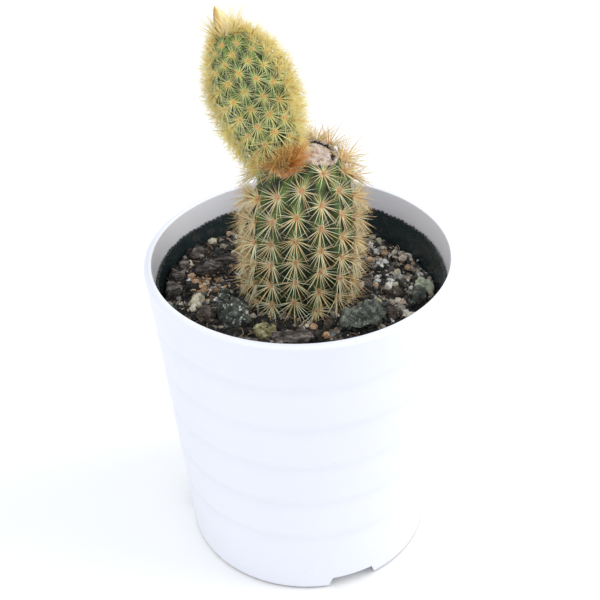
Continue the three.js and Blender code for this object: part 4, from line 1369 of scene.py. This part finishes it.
def make_scar():
    """The healed cut: a dry granular disc, torn away from the skin along its right and back."""
    top, normal = MainStem().frame(1, 1)
    reach, outermost = sizes("stem").scar_radius * 0.93, 1.12
    rows, columns = 46, 128
    turns = np.linspace(0, math.tau, columns, endpoint=False)
    rings, splits = [], []
    torn_towards, crack_width, lifted_at, lifted_width = math.radians(66), 0.13, 1.03, 0.06
    tear = 0.5 + 0.5 * np.cos(turns - torn_towards)
    circle = np.stack([np.cos(turns), np.sin(turns), 0 * turns], axis=1)
    wobble, jag = rough(circle, 2.6, 4, 3), rough(circle, 9.0, 3, 5)
    crack_at = 0.80 + 0.05 * wobble + 0.09 * jag
    torn = np.clip(np.clip(tear * 2.1 - 0.45, 0, 1) * (0.9 + 0.5 * jag), 0, 1)
    for share in np.linspace(outermost, 0.03, rows):
        radii = reach * share * (1 + 0.05 * wobble)
        flat = np.stack([radii * np.cos(turns), radii * np.sin(turns), 0 * turns], axis=1)
        grain = rough(flat, 900, 4, 9) * 0.28 * MM + rough(flat, 260, 2, 2) * 0.45 * MM
        crack = np.exp(-((share - crack_at) / crack_width) ** 2) * torn
        lifted = 0.9 * MM * np.exp(-((share - lifted_at) / lifted_width) ** 2) * torn
        dome = 0.75 * MM * (1 - share ** 2)
        edge = -1.6 * MM * np.clip((share - 0.98) / 0.14, 0, 1)
        coarse = grain * min(1, (outermost - share) * 6)
        high = 0.5 * MM + dome + coarse - 0.7 * MM * crack + lifted + edge
        rings.append(laid_flat(normal, flat) + top + np.outer(high, normal))
        splits.append(np.clip(crack * 5 - 0.9, 0, 1))
    below, above = 1.5 * MM, 1.25 * MM
    points, faces = loft(np.array(rings), top - normal * below, top + normal * above)
    made = new_object("scar_disc", points, faces)
    store(made, "split", np.append(np.concatenate(splits), [0.0, 0.0]))
    made.data.shade_smooth()
    return finish_piece(made, "scar_cork", scar_cork())


def make_offset():
    """The ribbed skin of the offset, from its root inside the main stem to its tip."""
    surface, colours, s = Offset(), sizes("colours"), sizes("offset")
    rows, columns, last = 190, 16 * 14, 0.985
    rings, crests = stem_rings(surface, 0.0, last, rows, columns)
    turns = np.linspace(0, math.tau, columns, endpoint=False)
    neck = surface.centre(0) - surface.axis * s.root * 0.75
    rings.insert(0, ring_at(neck, surface.axis, turns, np.full(columns, s.radius * 0.42)))
    crests.insert(0, crests[0] * 0)
    foot = surface.centre(0) - surface.axis * s.root
    made = skinned("offset_skin", rings, crests, foot, surface.centre(1), 0.08 * MM, 400)
    shaded_below, bright_above = 0.160, 0.205
    finish = skin("Offset skin", tuple(colours.offset), tuple(colours.offset_furrow_shade), 170,
                  shaded_below, bright_above)
    return finish_piece(made, "offset_skin", finish, "offset_stem")


def make_tuft():
    """The papery cone at the tip: bracts wrapped round each other to a point."""
    s = sizes("offset")
    surface = Offset()
    axis = np.array([-math.sin(s.tuft_lean), 0, math.cos(s.tuft_lean)])
    foot = surface.centre(1) - axis * s.tuft_seat
    span = s.tuft_length + s.tuft_seat
    columns, rows, last, wraps, twisting = 96, 60, 0.99, 3.2, 1.1
    turns = np.linspace(0, math.tau, columns, endpoint=False)
    profile = [(0, 0.74), (0.1, 0.82), (0.3, 0.80), (0.5, 0.70), (0.75, 0.46), (0.9, 0.26),
               (1.0, 0.04)]
    shares, widths = zip(*profile)
    rings, alongs = [], []
    for share in np.linspace(0, last, rows):
        twist = turns + twisting * share
        fold = 0.10 * np.cos(5 * twist) + 0.05 * np.cos(11 * twist + 1) + 0.03 * np.cos(23 * twist)
        scale = 1 - 0.12 * (share * wraps + turns / math.tau) % 1 * 0.5
        width = np.interp(share, shares, widths)
        radii = s.tuft_radius * width * (1 + fold) * scale
        rings.append(ring_at(foot + axis * span * share, axis, turns, radii))
        alongs.append(np.full(columns, share))
    tip = foot + axis * span
    points, faces = loft(np.array(rings), foot - axis * 0.5 * MM, tip)
    made = new_object("paper_tuft", points, faces)
    store(made, "along", np.append(np.concatenate(alongs), [0.0, 1.0]))
    # Painted light: lit runs from the shaded left side of the tuft to its lit right side.
    store(made, "lit", np.append(np.tile(0.5 + 0.5 * np.cos(turns), rows), [0.5, 0.5]))
    made.data.shade_smooth()
    return finish_piece(made, "crown_paper", papery_tuft(), "crown_tuft")


# ---- spines ------------------------------------------------------------------------------------
def stand_up(areole):
    """Turns the topmost areoles right of and behind the scar upward, and lengthens their spines."""
    place, top = Vector(areole["place"]), Vector(MainStem().frame(1, 1)[0])
    right_share, back_share, upward, longer = 0.55, 0.83, 1.5, 0.16
    away = right_share * (place.x - top.x) + back_share * (place.y - top.y)
    behind = ease((away + 1 * MM) / (6 * MM)) * ease((place.z - top.z + 12 * MM) / (8 * MM))
    areole["out"] = areole["out"] + np.array([0, 0, upward * behind])
    areole["out"] = areole["out"] / np.linalg.norm(areole["out"])
    across = np.cross(areole["out"], areole["up"])
    areole["up"] = np.cross(across, areole["out"]) / np.linalg.norm(across)
    areole["vigour"] = 1 + longer * behind


def grown(tree, name, areoles, draw, horn, slot_name, **values):
    """One piece: a tree's stars of spines, or its pads of wool, on each areole."""
    made = tree.run(areole_cloud(name, areoles, draw), material=horn, **values)
    made.data.shade_smooth()
    return finish_piece(made, slot_name, horn)


def make_stem_spines():
    """Cream radial spines and golden central ones on the main stem."""
    s = sizes("spines")
    areoles = areole_frames(MainStem(), lambda share, turn: 1.0)
    for areole in areoles:
        stand_up(areole)
    horn = spine_horn("Stem radial spines", (0.70, 0.40, 0.22), (0.86, 0.82, 0.55),
                      (0.62, 0.46, 0.25), (0.82, 0.60, 0.33), 0.36)
    gold = spine_horn("Stem central spines", (0.58, 0.28, 0.13), (0.84, 0.55, 0.22),
                      (0.40, 0.21, 0.08), (0.78, 0.62, 0.36), 0.35)
    tree = spine_tree("radial_spines")
    grown(tree, "stem_radials", areoles, s.seed, horn, "spine_cream",
          spines=s.radials, length=s.radial_length, uneven=0.16, lift=math.radians(31),
          lift_spread=math.radians(9), bend=-0.03, thickness=0.024, droop=0.2, seed=s.seed)
    grown(tree, "stem_centrals", areoles, s.seed + 50, gold, "spine_cream",
          spines=s.centrals, length=s.central_length, uneven=0.22, lift=math.radians(48),
          lift_spread=math.radians(26), bend=-0.04, thickness=0.018, droop=0.12, seed=s.seed + 7)
    return areoles


def offset_vigour(share, turn):
    """Spines shorten towards the tip, and low down on the side that faces the scar."""
    most_young, most_crowded = 0.34, 0.42
    young = most_young * ease((share - 0.35) / 0.65)
    crowded = most_crowded * ease((0.30 - share) / 0.2) * ease((math.cos(turn) - 0.1) / 0.6)
    return 1 - young - crowded


def turned_away(areoles, limit):
    """The areoles that face the sides and the back, where the spines stand thickest."""
    return [areole for areole in areoles if areole["out"][1] > limit]


def halfway(areoles, gap):
    """Places halfway to the next areole up each rib, to close the notches of the outline."""
    sunk = 0.5 * MM
    return [dict(areole, place=areole["place"] + areole["up"] * gap - areole["out"] * sunk)
            for areole in areoles]


def make_side_spines(on_stem, on_offset):
    """Golden spines that stand thickly on the sides and back of both stems; their golden tone is
    partly their own colour and partly painted backlight.
    """
    s = sizes("spines")
    tree = spine_tree("side_spines", 4, 4)
    # Partly painted light: the side spines get a warmer, brighter gold than the front ones, for light
    # shining through them.
    tan = spine_horn("Stem side spines", (0.56, 0.30, 0.14), (0.92, 0.70, 0.38),
                     (0.56, 0.38, 0.18), (0.78, 0.50, 0.22), 0.4)
    grown(tree, "stem_side_spines", turned_away(on_stem, -0.5), s.seed + 60, tan, "spine_cream",
          spines=20, length=s.radial_length, uneven=0.24, lift=math.radians(38),
          lift_spread=math.radians(26), bend=-0.03, thickness=0.018, droop=0.1, seed=s.seed + 21)
    gold = spine_horn("Offset side spines", (0.50, 0.21, 0.05), (0.99, 0.77, 0.24),
                      (1.0, 0.91, 0.50), (0.56, 0.29, 0.07), 0.34, 0.3)
    sides = turned_away(on_offset, -0.45)
    sides += halfway(sides, sizes("offset").areole_step / 2)
    grown(tree, "offset_side_spines", sides, s.seed + 61, gold, "spine_gold",
          spines=20, length=s.young_length, uneven=0.3, lift=math.radians(34),
          lift_spread=math.radians(24), bend=-0.03, thickness=0.025, droop=0.0, seed=s.seed + 22)


def make_offset_spines():
    """Pale green radial spines on the offset's front, and golden central ones all round."""
    s = sizes("spines")
    areoles = areole_frames(Offset(), offset_vigour)
    horn = spine_horn("Offset radial spines", (0.86, 0.52, 0.16), (0.86, 0.87, 0.47),
                      (0.96, 0.87, 0.40), (0.94, 0.74, 0.24), 0.30, 0.3)
    gold = spine_horn("Offset central spines", (0.84, 0.46, 0.10), (0.98, 0.84, 0.34),
                      (0.99, 0.84, 0.30), (0.96, 0.64, 0.14), 0.35, 0.3)
    tree = spine_tree("fine_spines", 4, 4)
    facing = [areole for areole in areoles if areole["out"][1] <= -0.3]
    grown(tree, "offset_radials", facing, s.seed + 1, horn, "spine_gold",
          spines=s.young_radials, length=s.young_length, uneven=0.18, lift=math.radians(28),
          lift_spread=math.radians(14), bend=-0.03, thickness=0.0185, droop=0.05, seed=s.seed + 11)
    grown(tree, "offset_centrals", areoles, s.seed + 51, gold, "spine_gold",
          spines=s.young_centrals, length=s.young_length, uneven=0.2, lift=math.radians(52),
          lift_spread=math.radians(26), bend=-0.04, thickness=0.0165, droop=0.05, seed=s.seed + 12)
    return areoles


# Place from the joint and lean to the right, in millimetres and degrees, of each bristle cushion.
JOINT_CUSHIONS = [
    (2.0, -7.4, -1.0, 0), (0.8, -7.4, -0.3, -16), (3.4, -6.8, 0.0, 18), (1.6, -7.8, 1.2, -6),
    (3.0, -7.2, 1.4, 10), (-0.8, -7.4, 0.8, -30), (4.6, -5.8, 1.2, 28), (2.4, -7.8, 2.6, 4),
]
WOOL_CUSHIONS = [
    (7.0, -4.2, 2.0, 20), (8.0, -2.4, 1.6, 28), (6.6, -5.8, 1.6, 24), (7.6, -0.4, 2.2, 16),
    (5.8, -6.6, 2.8, 12),
]


def fan_areoles(joint, cushions, forward):
    """Cushions whose bristles stand up and a little forward in a fan across the view."""
    made = []
    for x, y, z, lean in cushions:
        tilt = math.radians(lean)
        out = np.array([math.sin(tilt), forward, math.cos(tilt)])
        out = out / np.linalg.norm(out)
        up = np.cross(out, [0, 1.0, 0])
        made.append({"place": joint + np.array([x, y, z]) * MM, "out": out,
                     "up": up / np.linalg.norm(up), "vigour": 1.0})
    return made


def make_joint_bristles():
    """Dense brown bristles in a fan in front of the joint, and pale wool beside the scar."""
    s, joint = sizes("spines"), Offset().joint
    areoles = fan_areoles(joint, JOINT_CUSHIONS, -0.34)
    beside = fan_areoles(joint, WOOL_CUSHIONS, -0.3)
    horn = spine_horn("Joint bristles", (0.34, 0.085, 0.012), (0.66, 0.24, 0.04),
                      (0.86, 0.52, 0.16), (0.46, 0.14, 0.022), 0.4, 0.3)
    brown = felt("Joint felt", (0.34, 0.10, 0.02), (0.70, 0.30, 0.08))
    pale = spine_horn("Joint wool", (0.62, 0.40, 0.28), (0.86, 0.66, 0.50), (0.95, 0.84, 0.68),
                      (0.80, 0.52, 0.30), 0.3, 0.3)
    tree = spine_tree("bristles", 4, 4)
    grown(tree, "joint_bristles", areoles, s.seed + 2, horn, "spine_gold",
          spines=84, length=9.2 * MM, uneven=0.38, lift=math.radians(66),
          lift_spread=math.radians(22), bend=0.04, thickness=0.016, droop=0.0, seed=s.seed + 13)
    grown(felt_tree("joint_felt_tree"), "joint_felt", areoles, s.seed + 8, brown, "areole_wool",
          width=3.0 * MM, proud=3.4 * MM, seed=s.seed)
    grown(tree, "joint_wool", beside, s.seed + 9, pale, "areole_wool",
          spines=90, length=3.6 * MM, uneven=0.4, lift=math.radians(40),
          lift_spread=math.radians(45), bend=0.1, thickness=0.022, droop=0.0, seed=s.seed + 15)


def make_tip_bristles():
    """Upright golden bristles that stand round the papery tuft."""
    s, surface = sizes("spines"), Offset()
    number, ring, sunk, spread = 7, 2.9 * MM, 1.6 * MM, 0.35
    tip = surface.centre(1)
    areoles = []
    for index in range(number):
        turn = math.tau * index / number
        side = surface.side * math.cos(turn) + np.array([0, 1.0, 0]) * math.sin(turn)
        out = surface.axis + spread * side
        areoles.append({"place": tip + side * ring - surface.axis * sunk,
                        "out": out / np.linalg.norm(out), "up": side, "vigour": 1.0})
    horn = spine_horn("Tip bristles", (0.72, 0.48, 0.14), (0.98, 0.86, 0.46), (0.96, 0.84, 0.46),
                      (0.88, 0.64, 0.24), 0.3)
    grown(spine_tree("tip_spines", 4, 4), "tip_bristles", areoles, s.seed + 3, horn, "spine_gold",
          spines=22, length=7.6 * MM, uneven=0.34, lift=math.radians(60),
          lift_spread=math.radians(24), bend=0.02, thickness=0.018, droop=0.0, seed=s.seed + 14)


FELT_FIELDS = [("Width", "NodeSocketFloat"), ("Proud", "NodeSocketFloat"),
               ("Seed", "NodeSocketInt"), ("Material", "NodeSocketMaterial")]


def felt_tree(name):
    """A small matted pad of wool at each areole."""
    sheet = NodeSheet(name, FELT_FIELDS)
    seed = sheet.given("Seed")
    points = sheet.add("GeometryNodeMeshToPoints", {"Mesh": sheet.given("Geometry")})
    pad = sheet.add("GeometryNodeMeshIcoSphere", {"Radius": 0.5, "Subdivisions": 3})
    laid = sheet.add("FunctionNodeAlignRotationToVector",
                     {"Vector": sheet.named("face_out", "FLOAT_VECTOR")}, axis="Z")
    laid = sheet.add("FunctionNodeAlignRotationToVector", {
        "Rotation": laid, "Vector": sheet.named("face_up", "FLOAT_VECTOR")},
        axis="Y", pivot_axis="Z")
    taller = 1.25
    shape = sheet.add("ShaderNodeCombineXYZ", {
        0: sheet.given("Width"), 1: sheet.maths("MULTIPLY", sheet.given("Width"), taller),
        2: sheet.given("Proud")})
    size = sheet.maths("MULTIPLY", sheet.chance(0.8, 1.15, seed), sheet.named("vigour"))
    pads = sheet.add("GeometryNodeInstanceOnPoints", {
        "Points": points, "Instance": pad, "Rotation": laid, "Scale": sheet.scaled(shape, size)})
    whole = sheet.add("GeometryNodeRealizeInstances", {"Geometry": pads})
    place = sheet.add("GeometryNodeInputPosition")
    wander = sheet.add("ShaderNodeTexNoise", {"Vector": place, "Scale": 1500.0, "Detail": 2.0},
                       output=1)
    wander = sheet.vector("SUBTRACT", wander, (0.5, 0.5, 0.5))
    matted = 0.9 * MM
    whole = sheet.add("GeometryNodeSetPosition", {
        "Geometry": whole, "Offset": sheet.scaled(wander, matted)})
    sheet.close(whole, sheet.given("Material"))
    return sheet


def make_felt(stem_areoles, offset_areoles):
    """A small orange pad of wool on every areole of both stems."""
    s = sizes("spines")
    tan = felt("Stem felt", (0.42, 0.17, 0.06), (0.84, 0.46, 0.23))
    grown(felt_tree("stem_felt_tree"), "stem_felt", stem_areoles, s.seed + 5, tan, "areole_wool",
          width=1.75 * MM, proud=2.1 * MM, seed=s.seed)
    orange = felt("Offset felt", (0.66, 0.31, 0.09), (0.98, 0.60, 0.26))
    grown(felt_tree("offset_felt_tree"), "offset_felt", offset_areoles, s.seed + 6, orange,
          "areole_wool", width=1.7 * MM, proud=2.0 * MM, seed=s.seed)


# ---- the stage ---------------------------------------------------------------------------------
def floor_white():
    """Matt white paper."""
    finish = Finish("Floor white", 0.6)
    finish.colour((0.97, 0.965, 0.955))
    return finish.material


def area_light(name, place, aim, size, power, tint):
    """A round window of soft light."""
    lamp = bpy.data.lights.new(name, "AREA")
    lamp.shape = "DISK"
    lamp.size = size
    lamp.energy = power
    lamp.color = tint
    made = bpy.data.objects.new(name, lamp)
    made.location = place
    made.rotation_mode = "QUATERNION"
    made.rotation_quaternion = (Vector(aim) - Vector(place)).to_track_quat("-Z", "Y")
    bpy.context.scene.collection.objects.link(made)


def make_camera():
    """A camera that looks down at the pot, with a slight roll."""
    lens = bpy.data.cameras.new("camera")
    lens.lens, lens.sensor_width = 69.0, 36.0
    lens.clip_start, lens.clip_end = 0.01, 20
    made = bpy.data.objects.new("camera", lens)
    downward, roll = math.radians(35.27), math.radians(-1.98)
    across, up, away = -3.64 * MM, 82.42 * MM, 472.2 * MM
    back = Vector((0, -math.cos(downward), math.sin(downward)))
    level, upward = Vector((1, 0, 0)), Vector((0, math.sin(downward), math.cos(downward)))
    right = level * math.cos(roll) + upward * math.sin(roll)
    top = upward * math.cos(roll) - level * math.sin(roll)
    turn = Matrix((right, top, back)).transposed().to_4x4()
    turn.translation = right * across + top * up + back * away
    made.matrix_world = turn
    bpy.context.scene.collection.objects.link(made)
    bpy.context.scene.camera = made


def make_stage():
    """A wide pale floor, a soft bright room and two windows."""
    far = 6
    corners = [(-far, -far, 0), (far, -far, 0), (far, far, 0), (-far, far, 0)]
    floor = new_object("floor", corners, [(0, 1, 2, 3)])
    floor.data.materials.append(floor_white())
    world = bpy.data.worlds.new("soft_room")
    world.use_nodes = True
    sky = world.node_tree.nodes["Background"].inputs
    sky["Color"].default_value = (0.93, 0.96, 1.0, 1.0)
    sky["Strength"].default_value = 0.95
    bpy.context.scene.world = world
    plant = (0, 0, 0.1)
    area_light("window_right", (0.85, 0.0, 0.75), plant, 0.9, 5.6, (1.0, 0.98, 0.95))
    area_light("window_left", (-0.6, -0.45, 1.0), plant, 0.9, 2.6, (0.95, 0.97, 1.0))
    make_camera()
    bpy.context.scene.view_settings.view_transform = "Standard"


# ---- operators ---------------------------------------------------------------------------------
class CoverPotOperator(bpy.types.Operator):
    """Make the white cover pot."""
    bl_idname = "cactus.cover_pot"
    bl_label = "Cover pot"

    def execute(self, context):
        make_cover_pot()
        return {"FINISHED"}


class NurseryPotOperator(bpy.types.Operator):
    """Make the black nursery pot with its ragged rim."""
    bl_idname = "cactus.nursery_pot"
    bl_label = "Nursery pot"

    def execute(self, context):
        make_nursery_pot()
        return {"FINISHED"}


class PottingMixOperator(bpy.types.Operator):
    """Make the bed of mix with its grit and fibres."""
    bl_idname = "cactus.potting_mix"
    bl_label = "Potting mix"

    def execute(self, context):
        make_potting_mix()
        make_grit()
        make_fibres()
        return {"FINISHED"}


class LoosePiecesOperator(bpy.types.Operator):
    """Make the stones, pebbles and bark chips."""
    bl_idname = "cactus.loose_pieces"
    bl_label = "Stones and bark"

    def execute(self, context):
        make_stones()
        make_bark()
        return {"FINISHED"}


class StemsOperator(bpy.types.Operator):
    """Make the main stem with its scar, the offset and its papery tuft."""
    bl_idname = "cactus.stems"
    bl_label = "Stems"

    def execute(self, context):
        make_main_stem()
        make_scar()
        make_offset()
        make_tuft()
        return {"FINISHED"}


class SpinesOperator(bpy.types.Operator):
    """Make the spines, bristles and areole felt."""
    bl_idname = "cactus.spines"
    bl_label = "Spines"

    def execute(self, context):
        on_stem = make_stem_spines()
        on_offset = make_offset_spines()
        make_side_spines(on_stem, on_offset)
        make_joint_bristles()
        make_tip_bristles()
        make_felt(on_stem, on_offset)
        return {"FINISHED"}


class StageOperator(bpy.types.Operator):
    """Make the floor, the light and the camera."""
    bl_idname = "cactus.stage"
    bl_label = "Stage"

    def execute(self, context):
        make_stage()
        return {"FINISHED"}


OPERATORS = (CoverPotOperator, NurseryPotOperator, PottingMixOperator, LoosePiecesOperator,
             StemsOperator, SpinesOperator, StageOperator)
SIZE_GROUPS = {"pot": PotSizes, "stem": StemSizes, "offset": OffsetSizes, "spines": SpineSizes,
               "colours": Colours}


class CactusPanel(bpy.types.Panel):
    """Lists the pieces and their sizes."""
    bl_idname = "VIEW3D_PT_cactus"
    bl_label = "Potted cactus"
    bl_space_type = "VIEW_3D"
    bl_region_type = "UI"
    bl_category = "Cactus"

    def draw(self, context):
        for operator in OPERATORS:
            self.layout.operator(operator.bl_idname)
        for name, group in SIZE_GROUPS.items():
            box = self.layout.box()
            box.label(text=name.capitalize())
            for key in group.__annotations__:
                box.prop(getattr(context.scene, "cactus_" + name), key)


def register():
    for group in SIZE_GROUPS.values():
        bpy.utils.register_class(group)
    for name, group in SIZE_GROUPS.items():
        setattr(bpy.types.Scene, "cactus_" + name, PointerProperty(type=group))
    for operator in OPERATORS:
        bpy.utils.register_class(operator)
    bpy.utils.register_class(CactusPanel)


def unregister():
    bpy.utils.unregister_class(CactusPanel)
    for operator in reversed(OPERATORS):
        bpy.utils.unregister_class(operator)
    for name in SIZE_GROUPS:
        delattr(bpy.types.Scene, "cactus_" + name)
    for group in SIZE_GROUPS.values():
        bpy.utils.unregister_class(group)


def main():
    register()
    bpy.ops.cactus.cover_pot()
    bpy.ops.cactus.nursery_pot()
    bpy.ops.cactus.potting_mix()
    bpy.ops.cactus.loose_pieces()
    bpy.ops.cactus.stems()
    bpy.ops.cactus.spines()
    bpy.ops.cactus.stage()


if __name__ == "__main__":
    main()
